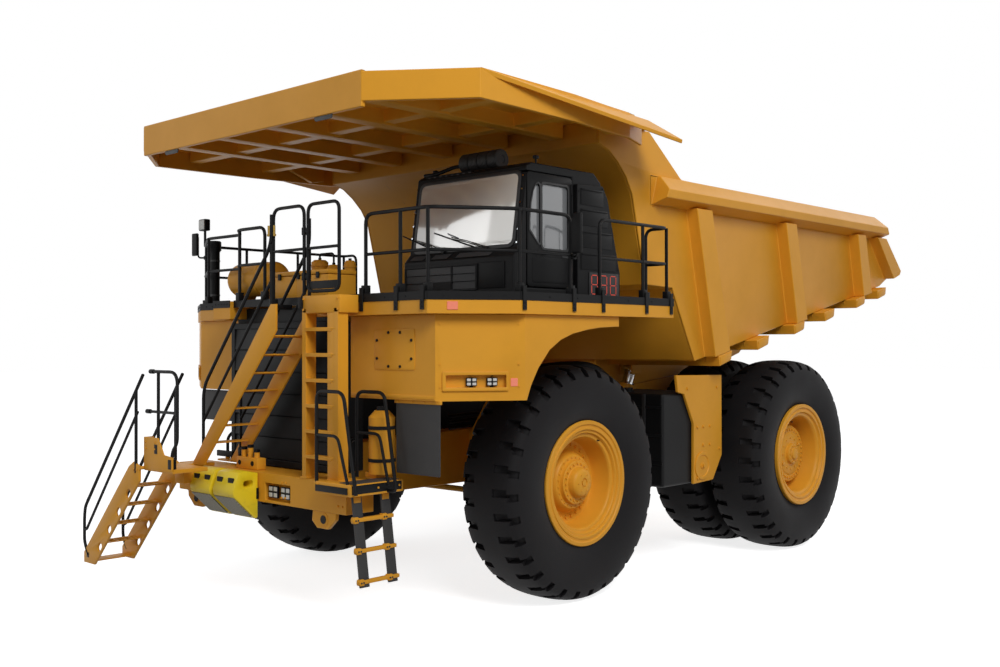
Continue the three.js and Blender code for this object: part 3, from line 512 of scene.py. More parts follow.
REAR_BACK = [(1.220, 0.0), (1.220, 0.410), (1.450, 0.430), (1.450, 0.560), (1.190, 0.610),
             (1.190, 0.798), (1.236, 0.798), (1.290, 0.642), (1.940, 0.642), (1.976, 0.798),
             (2.030, 0.798), (2.050, 0.642), (2.240, 0.642), (2.260, 0.798), (2.312, 0.798),
             (2.350, 0.642), (2.990, 0.642), (3.020, 0.668)]
for side, sign in (("left", 1), ("right", -1)):
    bm = bmesh.new()
    hub = at(0, WHEELBASE, AXLE_Z)
    spun(bm, [(sign * x, r) for x, r in REAR_RIM + REAR_BACK], hub, 72)
    out = Vector((sign, 0, 0))
    bolts(bm, ring_of(hub + out * 2.888, 0.385, 32), out, 0.018, 0.020)
    bolts(bm, ring_of(hub + out * 2.906, 0.250, 12), out, 0.013, 0.012)
    bolts(bm, ring_of(hub + out * 2.963, 0.122, 10), out, 0.012, 0.014)
    bolts(bm, ring_of(hub + out * 2.704, 0.506, 40, 0.5), out, 0.016, 0.018)
    for turn in (0.08, 0.58):
        place = ring_of(hub + out * 2.905, 0.290, 1, turn)[0]
        cylinder(bm, place, place + out * 0.018, 0.030, 6)
    valve = ring_of(hub + out * 3.03, 0.615, 12)[4]
    cylinder(bm, valve, valve + out * 0.08, 0.009, 8, 1)
    piece(f"rear_{side}_rim_steel", f"rear_{side}_wheels", bm, [yellow, black],
          [f"rear_{side}_rims"])


# ---- Fenders ------------------------------------------------------------------------------------
# Pressed and welded plate over the front wheels. The slanted panel carries a pair of headlamps in
# a recess, and the left front panel a bolted inspection cover.
def facing(origin, way):
    """A frame whose X runs along way and whose -Y looks out of the panel."""
    x = Vector(way).normalized()
    y = Vector((0, 0, 1)).cross(x)
    turn = Matrix((x, y, (0, 0, 1))).transposed().to_4x4()
    return Matrix.Translation(origin) @ turn


def added(bm, curve, mat, matrix=Matrix()):
    """Adds the mesh of a curve, which is then thrown away."""
    holder = bpy.data.objects.new("holder", curve)
    mesh = bpy.data.meshes.new_from_object(holder)
    bpy.data.objects.remove(holder)
    bpy.data.curves.remove(curve)
    mesh.transform(matrix)
    before = set(bm.faces)
    bm.from_mesh(mesh)
    bpy.data.meshes.remove(mesh)
    closed_up(bm, before, mat)


PLATE_AXES = {
    "x": Matrix(((0, 0, 1, 0), (1, 0, 0, 0), (0, 1, 0, 0), (0, 0, 0, 1))),
    "y": Matrix(((1, 0, 0, 0), (0, 0, -1, 0), (0, 1, 0, 0), (0, 0, 0, 1))),
    "z": Matrix(),
}


def plate(bm, axis, outline, a, b, holes=(), mat=0, ease=0.003, frame_at=None):
    """Plate cut to a flat outline, with holes, reaching from a to b along one axis."""
    curve = bpy.data.curves.new("outline", "CURVE")
    curve.dimensions = "2D"
    curve.fill_mode = "BOTH"
    curve.extrude = abs(b - a) / 2 - ease
    curve.bevel_depth = ease
    curve.offset = -ease
    curve.bevel_resolution = 1
    for loop in (outline, *holes):
        spline = curve.splines.new("POLY")
        spline.points.add(len(loop) - 1)
        for point, (u, v) in zip(spline.points, loop):
            point.co = (u, v, 0, 1)
        spline.use_cyclic_u = True
    lift = Vector([(a + b) / 2 if axis == name else 0 for name in "xyz"])
    frame_at = frame_at or Matrix.Translation((0, AXLE_Y, 0))
    added(bm, curve, mat, frame_at @ Matrix.Translation(lift) @ PLATE_AXES[axis])


def round_box(u0, u1, v0, v1, r, steps=4):
    """The outline of a rectangle with rounded corners."""
    points = []
    for cu, cv, start in ((u1 - r, v1 - r, 0), (u0 + r, v1 - r, 90), (u0 + r, v0 + r, 180),
                          (u1 - r, v0 + r, 270)):
        for i in range(steps + 1):
            turn = math.radians(start + 90 * i / steps)
            points.append((cu + r * math.cos(turn), cv + r * math.sin(turn)))
    return points


def recessed(made, frame_at, low, high):
    """Sinks a rectangular recess into a finished piece."""
    bm = bmesh.new()
    block(bm, low, high, 0, 0, 1, frame_at)
    mesh = bpy.data.meshes.new("recess")
    bm.to_mesh(mesh)
    bm.free()
    tool = bpy.data.objects.new("recess", mesh)
    bpy.context.collection.objects.link(tool)
    cut = made.modifiers.new("recess", "BOOLEAN")
    cut.object = tool
    cut.solver = "EXACT"
    easing = made.modifiers["eased_edges"]
    easing.show_viewport = False
    seen = made.evaluated_get(bpy.context.evaluated_depsgraph_get())
    sunk = bpy.data.meshes.new_from_object(seen)
    easing.show_viewport = True
    made.modifiers.remove(cut)
    whole, made.data = made.data, sunk
    bpy.data.objects.remove(tool)
    bpy.data.meshes.remove(whole)
    bpy.data.meshes.remove(mesh)


LAMP_RECESS = (0.115, 0.80, 2.79, 2.93)       # its two ends along the panel, bottom and top
LAMP_RIM = (0.075, 0.825, 2.752, 2.968)


def headlamps(bm, panel, frame_at, along):
    """Two lamps on the floor of a long recess sunk in a panel; along places them on it."""
    def spans(t0, t1, z0, z1):
        return (*sorted((along(t0), along(t1))), z0, z1)

    def cut(t0, t1, y0, y1, z0, z1):
        u0, u1, z0, z1 = spans(t0, t1, z0, z1)
        return (u0, y0, z0), (u1, y1, z1)

    u0, u1, z0, z1 = spans(*LAMP_RECESS)
    recessed(panel, frame_at, (u0, -0.03, z0), (u1, 0.055, z1))
    plate(bm, "y", round_box(*spans(*LAMP_RIM), 0.012), -0.022, -0.0005,
          [round_box(u0, u1, z0, z1, 0.008)], 2, 0.003, frame_at)
    for walls in ((0.64, 0.815, 0.055, 0.062, 2.77, 2.95), (0.80, 0.815, 0.028, 0.06, 2.77, 2.95),
                  (0.64, 0.815, 0.028, 0.06, 2.935, 2.95), (0.64, 0.815, 0.028, 0.06, 2.77, 2.785)):
        block(bm, *cut(*walls), 2, 0, 1, frame_at)
    for t in (0.41, 0.645):
        led_lamp(bm, frame_at, along(t), 2.852, -0.008, 0.062, 0.046)
        block(bm, *cut(t - 0.02, t + 0.02, 0.03, 0.056, 2.79, 2.90), 0, 0.003, 1, frame_at)


left_panels = dressed("left_fender_panels", "chassis", ["left_fender"], [yellow],
                      0.006)
right_panels = dressed("right_fender_panels", "chassis", ["right_fender"], [yellow],
                       0.006)
slant = facing(at(2.760, -2.600, 0), (0.585, 0.840, 0))
bm = bmesh.new()
headlamps(bm, left_panels, slant, lambda t: t)
# An orange reflector on the slanted panel, lit by a painted glow.
block(bm, (0.855, -0.006, 2.80), (0.935, 0.004, 2.89), 3, 0.002, 1, slant)
bolts(bm, [slant @ Vector((u, -0.001, z)) for u in (0.05, 0.95) for z in (2.80, 3.05, 3.50)],
      slant.to_3x3() @ Vector(AHEAD), 0.012, 0.010, 2)
plate(bm, "y", round_box(1.74, 2.43, 2.98, 3.45, 0.03), -2.607, -2.599, (), 2, 0.002)
bolts(bm, [at(x, -2.607, z) for x, z in ((1.99, 3.41), (2.19, 3.41), (1.79, 3.32), (2.38, 3.32),
                                         (1.79, 3.11), (2.38, 3.11), (1.99, 3.02), (2.19, 3.02))],
      AHEAD, 0.018, 0.012, 0)
plate(bm, "y", [(1.31, 2.66), (2.75, 2.66), (2.75, 2.70), (1.31, 2.70)], -2.606, -2.598, (), 2)
piece("left_fender_fittings", "chassis", bm, [black, lamp_lens, yellow, reflector_with_painted_glow])
right_slant = facing(at(-3.345, -1.760, 0), (0.925, -0.550, 0))
bm = bmesh.new()
headlamps(bm, right_panels, right_slant, lambda t: 1.076 - t)
# Orange reflectors on the right slanted panel, lit by a painted glow.
block(bm, (0.14, -0.006, 2.80), (0.22, 0.004, 2.89), 3, 0.002, 1, right_slant)
block(bm, (0.02, -0.006, 3.64), (0.14, 0.004, 3.73), 3, 0.002, 1, right_slant)
piece("right_fender_fittings", "chassis", bm, [black, lamp_lens, yellow, reflector_with_painted_glow])


# ---- Decks --------------------------------------------------------------------------------------
# Steel decking on folded channels, with a rolled grip pattern underfoot and a black toe strip
# screwed along the outer edges.
def grip_plate(name, hex_colour):
    # Rolled steel with raised round studs in rows, under worn dark enamel.
    material, tree, place = new_material(name)
    studs = remap(tree, cells(tree, place, 28.0, Randomness=0.0), 1.0, 0.0, 0.18, 0.30)
    wear = noise(tree, place, 3.0, Detail=8.0, Roughness=0.65)
    rubbed = maths(tree, "MULTIPLY", wear, studs)
    return finished(material, tree, {
        "Base Color": blend(tree, rubbed, hex_colour, "5C5A57"), "Roughness": 0.6,
        "Normal": relief(tree, studs, 0.8)})


def hanger(bm, x, y, way):
    """A socket's black strap, bolted down over the deck's edge that runs along way."""
    edge = facing(at(x, y, 0), way)
    block(bm, (-0.032, -0.020, 3.655), (0.032, -0.006, 3.93), 0, 0.004, 1, edge)
    bolts(bm, [edge @ Vector((0, -0.020, z)) for z in (3.69, 3.735)],
          edge.to_3x3() @ Vector(AHEAD), 0.010, 0.006)


grip = grip_plate("studded_deck_plate", "2B2A2A")
DECK_EDGES = {
    "left": [(0.70, -2.76), (2.80, -2.76), (3.40, -1.90), (3.40, 1.12), (3.0, 1.12)],
    "right": [(-3.0, 1.12), (-3.40, 1.12), (-3.40, -1.75), (-2.35, -2.36), (-1.40, -2.36),
              (-1.40, -2.76), (-1.0, -2.76)],
}
for side, path in DECK_EDGES.items():
    deck = dressed(f"{side}_deck_plate", "chassis", [f"{side}_deck"], [yellow, grip],
                   0.006)
    for face in deck.data.polygons:
        face.material_index = int(face.normal.z > 0.9 and face.center.z > 3.84)
    bm = bmesh.new()
    for (x0, y0), (x1, y1) in zip(path, path[1:]):
        way = Vector((x1 - x0, y1 - y0, 0))
        edge = facing(at(x0, y0, 0), way)
        block(bm, (0, -0.008, 3.764), (way.length, 0.004, 3.861), 0, 0.003, 1, edge)
        bolts(bm, [edge @ Vector((u * way.length / 6, -0.008, 3.81)) for u in range(1, 6)],
              edge.to_3x3() @ Vector(AHEAD), 0.009, 0.006)
    if side == "left":
        for x in (1.70, 2.30, 2.73):
            hanger(bm, x, -2.76, (1, 0, 0))
        for y in (-1.84, -0.96, -0.40, 0.50, 1.05):
            hanger(bm, 3.40, y, (0, 1, 0))
        edge = facing(at(2.80, -2.76, 0), (0.60, 0.86, 0))
        # An orange reflector at the deck's corner, lit by a painted glow.
        block(bm, (0.22, -0.010, 3.655), (0.34, 0.002, 3.745), 1, 0.002, 1, edge)
    if side == "right":
        block(bm, at(-1.0, -2.708, 3.764), at(0.70, -2.696, 3.861), 0, 0.003, 1)
    piece(f"{side}_toe_strip", "chassis", bm, [black, reflector_with_painted_glow])


# ---- Handrails ----------------------------------------------------------------------------------
# Round steel tube bent to shape with a middle rail, standing in square sockets welded to the deck.
RAIL_TUBE = 0.021
MID_TUBE = 0.018


def tube(bm, points, radius=RAIL_TUBE, bend=0.10, mat=0):
    """Tube along corner points, each corner turned on a bender."""
    points = [Vector(p) for p in points]
    path = [points[0]]
    for before, corner, after in zip(points, points[1:], points[2:]):
        back, on = before - corner, after - corner
        reach = min(bend, back.length * 0.45, on.length * 0.45)
        start, end = corner + back.normalized() * reach, corner + on.normalized() * reach
        for i in range(7):
            t = i / 6
            path.append(start * (1 - t) ** 2 + corner * 2 * t * (1 - t) + end * t ** 2)
    path.append(points[-1])
    curve = bpy.data.curves.new("tube", "CURVE")
    curve.dimensions = "3D"
    curve.bevel_depth = radius
    curve.bevel_resolution = 2
    curve.use_fill_caps = True
    spline = curve.splines.new("POLY")
    spline.points.add(len(path) - 1)
    for point, place in zip(spline.points, path):
        point.co = (*place, 1)
    added(bm, curve, mat)


DECK_TOP = 3.85
ON_DECK = 3.851                   # where the deck's equipment stands
RAIL_TOP = 4.79
MID_RAIL = 4.32


def socket(bm, x, y):
    block(bm, at(x - 0.040, y - 0.040, ON_DECK), at(x + 0.040, y + 0.040, DECK_TOP + 0.11), 0,
          0.006)


def handrail(node_name, name, path, posts):
    bm = bmesh.new()
    foot = DECK_TOP + 0.005
    run = [(*path[0], foot), *[(x, y, RAIL_TOP) for x, y in path], (*path[-1], foot)]
    tube(bm, [at(*p) for p in run], 0.022, 0.12)
    tube(bm, [at(x, y, MID_RAIL) for x, y in path], 0.019, 0.12)
    for x, y in posts:
        tube(bm, [at(x, y, foot), at(x, y, RAIL_TOP)], 0.022)
    for x, y in (path[0], path[-1], *posts):
        socket(bm, x, y)
    piece(name, "chassis", bm, [black], [node_name], 45)


handrail("left_front_handrail", "left_front_rail_tubes",
         [(1.70, -2.70), (2.77, -2.70), (3.35, -1.88), (3.35, -0.96)],
         [(2.30, -2.70), (2.75, -2.70), (3.35, -1.86)])
handrail("left_rear_handrail", "left_rear_rail_tubes",
         [(3.35, -0.40), (3.35, 1.06), (3.00, 1.06)], [(3.35, 0.50), (3.33, 1.06)])
handrail("right_handrail", "right_rail_tubes",
         [(-0.30, -2.70), (-0.90, -2.70), (-1.43, -2.31), (-2.24, -2.31), (-3.35, -1.66),
          (-3.35, 1.06), (-3.00, 1.06)],
         [(-0.88, -2.69), (-1.45, -2.31), (-2.22, -2.31), (-3.35, -1.64), (-3.35, -0.90),
          (-3.35, 0.10), (-3.33, 1.06)])


# ---- Gates at the deck's edge -------------------------------------------------------------------
# A self-closing tube gate across the ladder, hung on strap hinges, and a fixed hoop beside it with
# a brass twin air horn clamped to its post.
GATE_Y = -3.03
bm = bmesh.new()
tube(bm, [at(1.33, GATE_Y, 3.90), at(1.04, GATE_Y, 3.90), at(1.04, GATE_Y, 4.93),
          at(1.62, GATE_Y, 4.93), at(1.62, GATE_Y, 3.90), at(1.33, GATE_Y, 3.90)], RAIL_TUBE, 0.11)
tube(bm, [at(1.04, GATE_Y, 4.41), at(1.62, GATE_Y, 4.41)], MID_TUBE)
plate(bm, "y", round_box(1.055, 1.605, 3.925, 4.02, 0.01), GATE_Y - 0.005, GATE_Y + 0.003)
for z in (4.08, 4.62):
    block(bm, at(0.995, GATE_Y - 0.018, z - 0.028), at(1.060, GATE_Y + 0.018, z + 0.028), 0, 0.006)
piece("ladder_gate_tubes", "ladder_gate", bm, [black], ["ladder_gate"], 45)
brass = enamel("lacquered_brass", "C9A552", "A8853A", roughness=0.3)
bm = bmesh.new()
tube(bm, [at(0.965, GATE_Y, 3.865), at(0.965, GATE_Y, 4.93), at(0.35, GATE_Y, 4.93),
          at(0.35, GATE_Y, 3.72)], RAIL_TUBE, 0.13)
tube(bm, [at(0.965, GATE_Y, 4.41), at(0.35, GATE_Y, 4.41)], MID_TUBE)
for z in (4.08, 4.62):
    block(bm, at(0.935, GATE_Y - 0.02, z - 0.045), at(0.985, GATE_Y + 0.02, z + 0.045), 0, 0.006)
    upright(bm, 0.99, GATE_Y - 0.02, z - 0.05, z + 0.05, 0.009, 10)
for x in (0.35, 0.93):
    block(bm, at(x - 0.04, GATE_Y - 0.04, 3.70), at(x + 0.04, GATE_Y + 0.04, 3.83), 0, 0.006)
    block(bm, at(x - 0.03, GATE_Y + 0.03, 3.705), at(x + 0.03, -2.765, 3.765), 0, 0.006)
for x in (0.315, 0.385):
    upright(bm, x, GATE_Y - 0.03, 4.62, 4.73, 0.028, 16, 1)
    upright(bm, x, GATE_Y - 0.03, 4.60, 4.625, 0.036, 16, 1)
block(bm, at(0.285, GATE_Y - 0.045, 4.655), at(0.415, GATE_Y - 0.015, 4.69), 1, 0.008)
piece("stair_hoop_tubes", "chassis", bm, [black, brass], ["stair_hoop"], 45)


# ---- Mirrors and corner lamp --------------------------------------------------------------------
# Moulded housings on bent tube arms, clamped to the rail posts; a square work lamp stands on the
# right corner post.
def silvered(name, hex_colour):
    # Silvered float glass: a hard clear reflection with the least possible grain.
    material, tree, place = new_material(name)
    film = noise(tree, place, 5.0, Detail=4.0)
    return finished(material, tree, {"Base Color": linear(hex_colour), "Metallic": 1.0,
                                     "Roughness": remap(tree, film, 0.03, 0.10)})


mirror_glass = silvered("silvered_mirror", "C9CED2")
for side, sign, y, z, height in (("left", 1, -0.945, 4.30, 0.50), ("right", -1, -1.62, 4.62, 0.38)):
    bm = bmesh.new()
    post, arm, middle = sign * 3.39, sign * 3.496, sign * 3.5235
    tube(bm, [at(sign * 3.385, y, z), at(arm, y - 0.07, z), at(arm, y - 0.07, z + height - 0.06)],
         0.014, 0.05)
    block(bm, at(middle - 0.0725, y - 0.128, z + 0.03), at(middle + 0.0725, y - 0.082, z + height),
          0, 0.018, 3)
    block(bm, at(middle - 0.060, y - 0.086, z + 0.045),
          at(middle + 0.060, y - 0.078, z + height - 0.015), 1, 0.004)
    block(bm, at(post - 0.02, y - 0.03, z - 0.03), at(post + 0.02, y + 0.03, z + 0.03), 0, 0.006)
    if side == "right":
        tube(bm, [at(-3.35, -1.66, RAIL_TOP), at(-3.35, -1.66, 5.06)], 0.020)
        block(bm, at(-3.44, -1.72, 5.03), at(-3.26, -1.62, 5.21), 0, 0.018, 3)
        block(bm, at(-3.425, -1.728, 5.045), at(-3.275, -1.718, 5.195), 2, 0.008)
    piece(f"{side}_mirror_arm", "chassis", bm, [black, mirror_glass, lamp_lens],
          [f"{side}_mirror"], 40)


# ---- Stair to the deck --------------------------------------------------------------------------
# An inclined stair of two flat stringers and folded open treads, rising across the radiator, and
# the landing it starts from. The landing has its own rail in black tube.
def sloped(x0, z0, x1, z1, count, i):
    """The x and z of the i-th tread nosing of count between two ends."""
    return x0 + (x1 - x0) * i / (count + 1), z0 + (z1 - z0) * i / (count + 1)


STAIR_STRINGER = [(-0.95, 1.745), (-0.69, 1.745), (0.85, 3.44), (0.85, 3.75), (0.75, 3.75)]
bm = bmesh.new()
for y in (-3.36, -2.79):
    plate(bm, "y", STAIR_STRINGER, y, y + 0.03, (), 0, 0.004)
for i in range(1, 8):
    x, z = sloped(-0.89, 1.805, 0.81, 3.60, 7, i)
    block(bm, at(x - 0.06, -3.335, z - 0.005), at(x + 0.15, -2.785, z + 0.010), 0, 0.003, 1)
    block(bm, at(x - 0.06, -3.335, z - 0.020), at(x - 0.048, -2.785, z + 0.010), 0, 0.003, 1)
    bolts(bm, [at(x + u, -3.358, z - 0.01) for u in (0.0, 0.10)], AHEAD, 0.011, 0.002)
plate(bm, "z", [(-1.13, -3.925), (-0.46, -3.925), (-0.46, -3.44), (-0.915, -3.44),
                (-0.915, -3.051), (-1.13, -3.051)], 1.70, 1.75, (), 0, 0.005)
block(bm, at(-1.13, -3.50, 1.50), at(-0.915, -3.051, 1.70), 0, 0.012)
plate(bm, "y", [(-1.13, 1.72), (-0.46, 1.72), (-0.46, 1.90), (-0.66, 1.92), (-0.80, 2.12),
                (-1.13, 2.12)], -3.935, -3.915, (), 0, 0.004)
plate(bm, "x", [(-3.93, 1.72), (-3.80, 1.72), (-3.80, 2.12), (-3.93, 2.12)], -1.13, -1.115, (), 0,
      0.004)
for z in (1.98, 2.06):
    bolts(bm, [at(-1.08, -3.935, z), at(-0.86, -3.935, z)], AHEAD, 0.012, 0.010)
tube(bm, [at(-1.02, -3.90, 2.94), at(-0.40, -3.90, 2.94), at(-0.40, -3.90, 2.08),
          at(-0.52, -3.90, 1.96), at(-0.52, -3.90, 1.75)], RAIL_TUBE, 0.16, 1)
tube(bm, [at(-0.84, -3.90, 2.94), at(-0.84, -3.90, 1.90)], RAIL_TUBE, 0.1, 1)
tube(bm, [at(-1.10, -3.90, 2.44), at(-0.40, -3.90, 2.44)], MID_TUBE, 0.1, 1)
for x, z in ((-1.00, 2.94), (-1.08, 2.44)):
    cylinder(bm, at(x - 0.03, -3.90, z), at(x + 0.05, -3.90, z), 0.029, 16, 1)
for x, z in ((-0.52, 1.752), (-0.84, 1.92)):
    block(bm, at(x - 0.038, -3.938, z), at(x + 0.038, -3.862, z + 0.12), 1, 0.006)
for y in (-3.338, -2.782):
    low, high = at(-0.72, y, 1.87), at(0.74, y, 3.60)
    rise = Vector((0, 0, 0.86))
    tube(bm, [low, low + rise, high + rise, high + rise + Vector((0, 0, 0.35))], RAIL_TUBE, 0.16, 1)
    tube(bm, [low + rise / 2, high + rise / 2], MID_TUBE, 0.1, 1)
    block(bm, low - Vector((0.035, 0.021, 0.05)), low + Vector((0.035, 0.021, 0.06)), 1, 0.006)
    tube(bm, [high - Vector((0, 0, 0.1)), high + rise], RAIL_TUBE, 0.1, 1)
piece("access_stair_steel", "chassis", bm, [yellow, black], ["access_stair"], 40)


# ---- Boarding stair -----------------------------------------------------------------------------
# The lower flight, which folds up on its hinge: laser-cut stringers with lightening holes, open
# pressed treads, and a bent tube rail bolted to the outside of each stringer.
PIVOT = (-1.15, 1.75)
FOOT = (-2.45, 0.40)
BOARDING_STRINGER = [(-1.165, 1.56), (-1.165, 1.745), (-1.30, 1.80), (-1.42, 1.735),
                     (-2.61, 0.50), (-2.61, 0.362), (-2.32, 0.362)]


def slot_hole(x, z, along, length, width, steps=5):
    """A round-ended hole with its long side along a direction."""
    along = Vector(along).normalized()
    across = Vector((-along.y, along.x))
    points = []
    for sign in (1, -1):
        centre = Vector((x, z)) + along * sign * (length - width) / 2
        for i in range(steps + 1):
            turn = math.pi * (i / steps - 0.5)
            arm = along * sign * math.cos(turn) + across * sign * math.sin(turn)
            points.append(tuple(centre + arm * width / 2))
    return points


bm = bmesh.new()
fall = Vector((FOOT[0] - PIVOT[0], FOOT[1] - PIVOT[1]))
across = Vector((-fall.y, fall.x)).normalized()
holes = []
for i in range(4):
    middle = Vector(PIVOT) + fall * (0.25 + 0.19 * i) + across * 0.045
    holes.append(slot_hole(*middle, fall, 0.135, 0.085))
for y in (-3.98, -3.43):
    plate(bm, "y", BOARDING_STRINGER, y, y + 0.03, holes, 0, 0.004)
for i in range(1, 6):
    x, z = PIVOT[0] + fall.x * i / 5 - 0.02, PIVOT[1] + fall.y * i / 5
    z = max(z, 0.385)
    tread = round_box(x - 0.13, x + 0.11, -3.955, -3.425, 0.012)
    window = round_box(x - 0.075, x + 0.085, -3.90, -3.48, 0.04)
    plate(bm, "z", tread, z - 0.006, z + 0.008, [window] if i < 5 else (), 0, 0.002)
    block(bm, at(x - 0.13, -3.955, z - 0.045), at(x - 0.118, -3.425, z + 0.006), 0, 0.003, 1)
    for k in range(4):
        y = -3.86 + k * 0.115
        block(bm, at(x - 0.085, y - 0.006, z - 0.01), at(x + 0.09, y + 0.006, z + 0.008), 0)
for y in (-3.968, -3.412):
    tube(bm, [at(-2.50, y, 0.47), at(-2.62, y, 0.62), at(-2.62, y, 0.95), at(-2.60, y, 1.10),
              at(-1.09, y, 2.90)], RAIL_TUBE, 0.10, 1)
    tube(bm, [at(-2.62, y, 0.80), at(-2.56, y, 0.80), at(-1.217, y, 2.431)], MID_TUBE, 0.05, 1)
    tube(bm, [at(-1.26, y, 1.66), at(-1.26, y, 2.695)], RAIL_TUBE, 0.1, 1)
    block(bm, at(-2.54, y - 0.012, 0.43), at(-2.46, y + 0.03, 0.51), 1, 0.006)
    cylinder(bm, at(-2.535, y, 1.178), at(-2.485, y, 1.238), 0.0218, 16, 1)
cylinder(bm, at(PIVOT[0], -3.978, PIVOT[1] - 0.02), at(PIVOT[0], -3.402, PIVOT[1] - 0.02), 0.022,
         16, 0)
for y in (-3.985, -3.40):
    bolts(bm, [at(-1.22, y, 1.70), at(-1.30, y, 1.70)], (0, -1 if y < -3.9 else 1, 0), 0.014,
          0.004)
piece("boarding_stair_steel", "boarding_stair", bm, [yellow, black],
      ["boarding_stair"], 40)


# ---- Ladder to the deck -------------------------------------------------------------------------
# A fixed vertical ladder of folded channel stringers and flat rungs, with a box head at deck level.
ON_BUMPER = 1.6905
bm = bmesh.new()
for x in (0.95, 1.55):
    plate(bm, "z", [(x, -3.05), (x + 0.07, -3.05), (x + 0.07, -2.90), (x, -2.90)], ON_BUMPER,
          3.70, (), 0, 0.006)
block(bm, at(1.42, -3.045, ON_BUMPER), at(1.60, -3.03, 3.70), 0, 0.004)
block(bm, at(0.925, -3.062, ON_BUMPER), at(1.045, -2.88, 1.712), 0, 0.004)
block(bm, at(1.41, -3.062, ON_BUMPER), at(1.65, -2.88, 1.712), 0, 0.004)
for i in range(6):
    z = 1.949 + i * 0.30
    block(bm, at(1.0, -3.05, z), at(1.58, -2.955, z + 0.022), 0, 0.004)
    block(bm, at(1.0, -3.052, z - 0.02), at(1.50, -3.042, z + 0.024), 0, 0.003, 1)
block(bm, at(0.95, -3.05, 3.64), at(1.65, -2.765, 3.85), 0, 0.012)
bolts(bm, [at(x, -3.05, z) for x in (0.98, 1.62) for z in (3.68, 3.81)], AHEAD, 0.013, 0.012)
piece("access_ladder_steel", "chassis", bm, [yellow], ["access_ladder"], 40)


# ---- Step platform and hanging steps ------------------------------------------------------------
# A folded tray at the left end of the bumper between two bent tube rails, and below it steps hung
# on two straps of reinforced rubber so that they give way to a knock.
def conveyor_rubber(name, hex_colour):
    # Fabric-reinforced belt: matt black with the faint square print of its carcass.
    material, tree, place = new_material(name)
    weave = cells(tree, place, 160.0, Randomness=0.1)
    dust = noise(tree, place, 4.0, Detail=7.0)
    return finished(material, tree, {
        "Base Color": blend(tree, dust, hex_colour, "2A2827"), "Roughness": 0.75,
        "Normal": relief(tree, weave, 0.2, 0.002)})


belt = conveyor_rubber("reinforced_belt_rubber", "141415")
TRAY = [(1.40, -3.22), (2.05, -3.22), (2.05, -2.44), (1.78, -2.44), (1.78, -3.056), (1.40, -3.056)]
bm = bmesh.new()
plate(bm, "z", TRAY, 1.575, 1.712, (), 0, 0.010)
plate(bm, "z", round_box(1.80, 2.03, -3.18, -2.48, 0.01), 1.705, 1.720, (), 2, 0.003)
block(bm, at(2.042, -3.20, 1.60), at(2.052, -2.46, 1.70), 1, 0.003)
bolts(bm, [at(2.052, y, 1.65) for y in (-3.16, -2.82, -2.50)], (1, 0, 0), 0.013, 0.010)
bolts(bm, [at(1.46, -3.22, z) for z in (1.61, 1.68)], AHEAD, 0.012, 0.010)
block(bm, at(1.43, -3.232, 1.60), at(2.00, -3.217, 1.675), 1, 0.004)
tube(bm, [at(1.42, -3.20, 1.66), at(1.42, -3.20, 2.74), at(1.90, -3.20, 2.74),
          at(2.12, -3.20, 1.60)], RAIL_TUBE, 0.12, 1)
tube(bm, [at(1.42, -3.20, 2.24), at(1.80, -3.20, 2.24), at(1.99, -3.20, 1.66)], MID_TUBE, 0.09, 1)
tube(bm, [at(1.50, -2.67, 1.715), at(1.50, -2.67, 2.72), at(1.99, -2.67, 2.72),
          at(2.19, -2.67, 1.60), at(2.03, -2.67, 1.60)], RAIL_TUBE, 0.12, 1)
tube(bm, [at(1.50, -2.67, 2.24), at(1.90, -2.67, 2.24), at(2.06, -2.67, 1.66)], MID_TUBE, 0.09, 1)
piece("step_platform_steel", "chassis", bm, [yellow, black, grip],
      ["step_platform"], 40)

bm = bmesh.new()
for y in (-3.11, -2.69):
    plate(bm, "y", [(1.920, 1.56), (1.940, 1.56), (2.085, 0.56), (2.065, 0.56)], y, y + 0.14, (), 0,
          0.004)
    block(bm, at(1.905, y + 0.02, 1.49), at(1.955, y + 0.12, 1.558), 1, 0.005)
for z in (1.30, 0.96, 0.62):
    x = 1.93 + (1.56 - z) * 0.145
    block(bm, at(x - 0.028, -3.13, z - 0.022), at(x + 0.028, -2.53, z + 0.022), 1, 0.008)
    for y in (-3.11, -2.69):
        block(bm, at(x - 0.036, y - 0.012, z - 0.036), at(x + 0.036, y + 0.055, z + 0.036), 1,
              0.012)
        bolts(bm, [at(x + 0.036, y + u, z) for u in (0.005, 0.038)], (1, 0, 0), 0.010, 0.010)
piece("hanging_step_straps", "chassis", bm, [belt, yellow], ["hanging_steps"], 40)


# ---- Cab ----------------------------------------------------------------------------------------
# A welded safety cell skinned in black-enamelled sheet, with a bonded windshield in a rubber
# surround, a grille and cowl below it, bolts down the front pillars and a pair of wipers.
def glazing(name, hex_colour, cover, index):
    # Laminated safety glass with a reflective solar coating and a film of dust; the base colour
    # covers the pane as far as cover. On the windshield that colour is pale and nearly opaque: a
    # painted reflection of the bright sky, not a tint of the glass.
    material, tree, place = new_material(name)
    haze = noise(tree, place, 1.6, Detail=5.0)
    return finished(material, tree, {
        "Base Color": linear(hex_colour), "Roughness": remap(tree, haze, 0.03, 0.14),
        "Alpha": remap(tree, haze, cover - 0.06, cover + 0.06), "IOR": index,
        "Specular IOR Level": 1.0})


def moulded(name, hex_colour, roughness):
    # Grained ABS or rubber moulding: fine leather grain, evenly dull.
    material, tree, place = new_material(name)
    cloud = noise(tree, place, 3.0, Detail=4.0)
    return finished(material, tree, {
        "Base Color": linear(hex_colour),
        "Roughness": remap(tree, cloud, roughness - 0.08, roughness + 0.08),
        "Normal": relief(tree, cells(tree, place, 220.0), 0.25, 0.0015)})


def wire_screen(name):
    # Woven wire behind the grille bars: dark, with a small square mesh.
    material, tree, place = new_material(name)
    weave = cells(tree, place, 90.0, Randomness=0.0)
    return finished(material, tree, {"Base Color": blend(tree, weave, "0A0A0B", "2C2C2E"),
                                     "Roughness": 0.6})
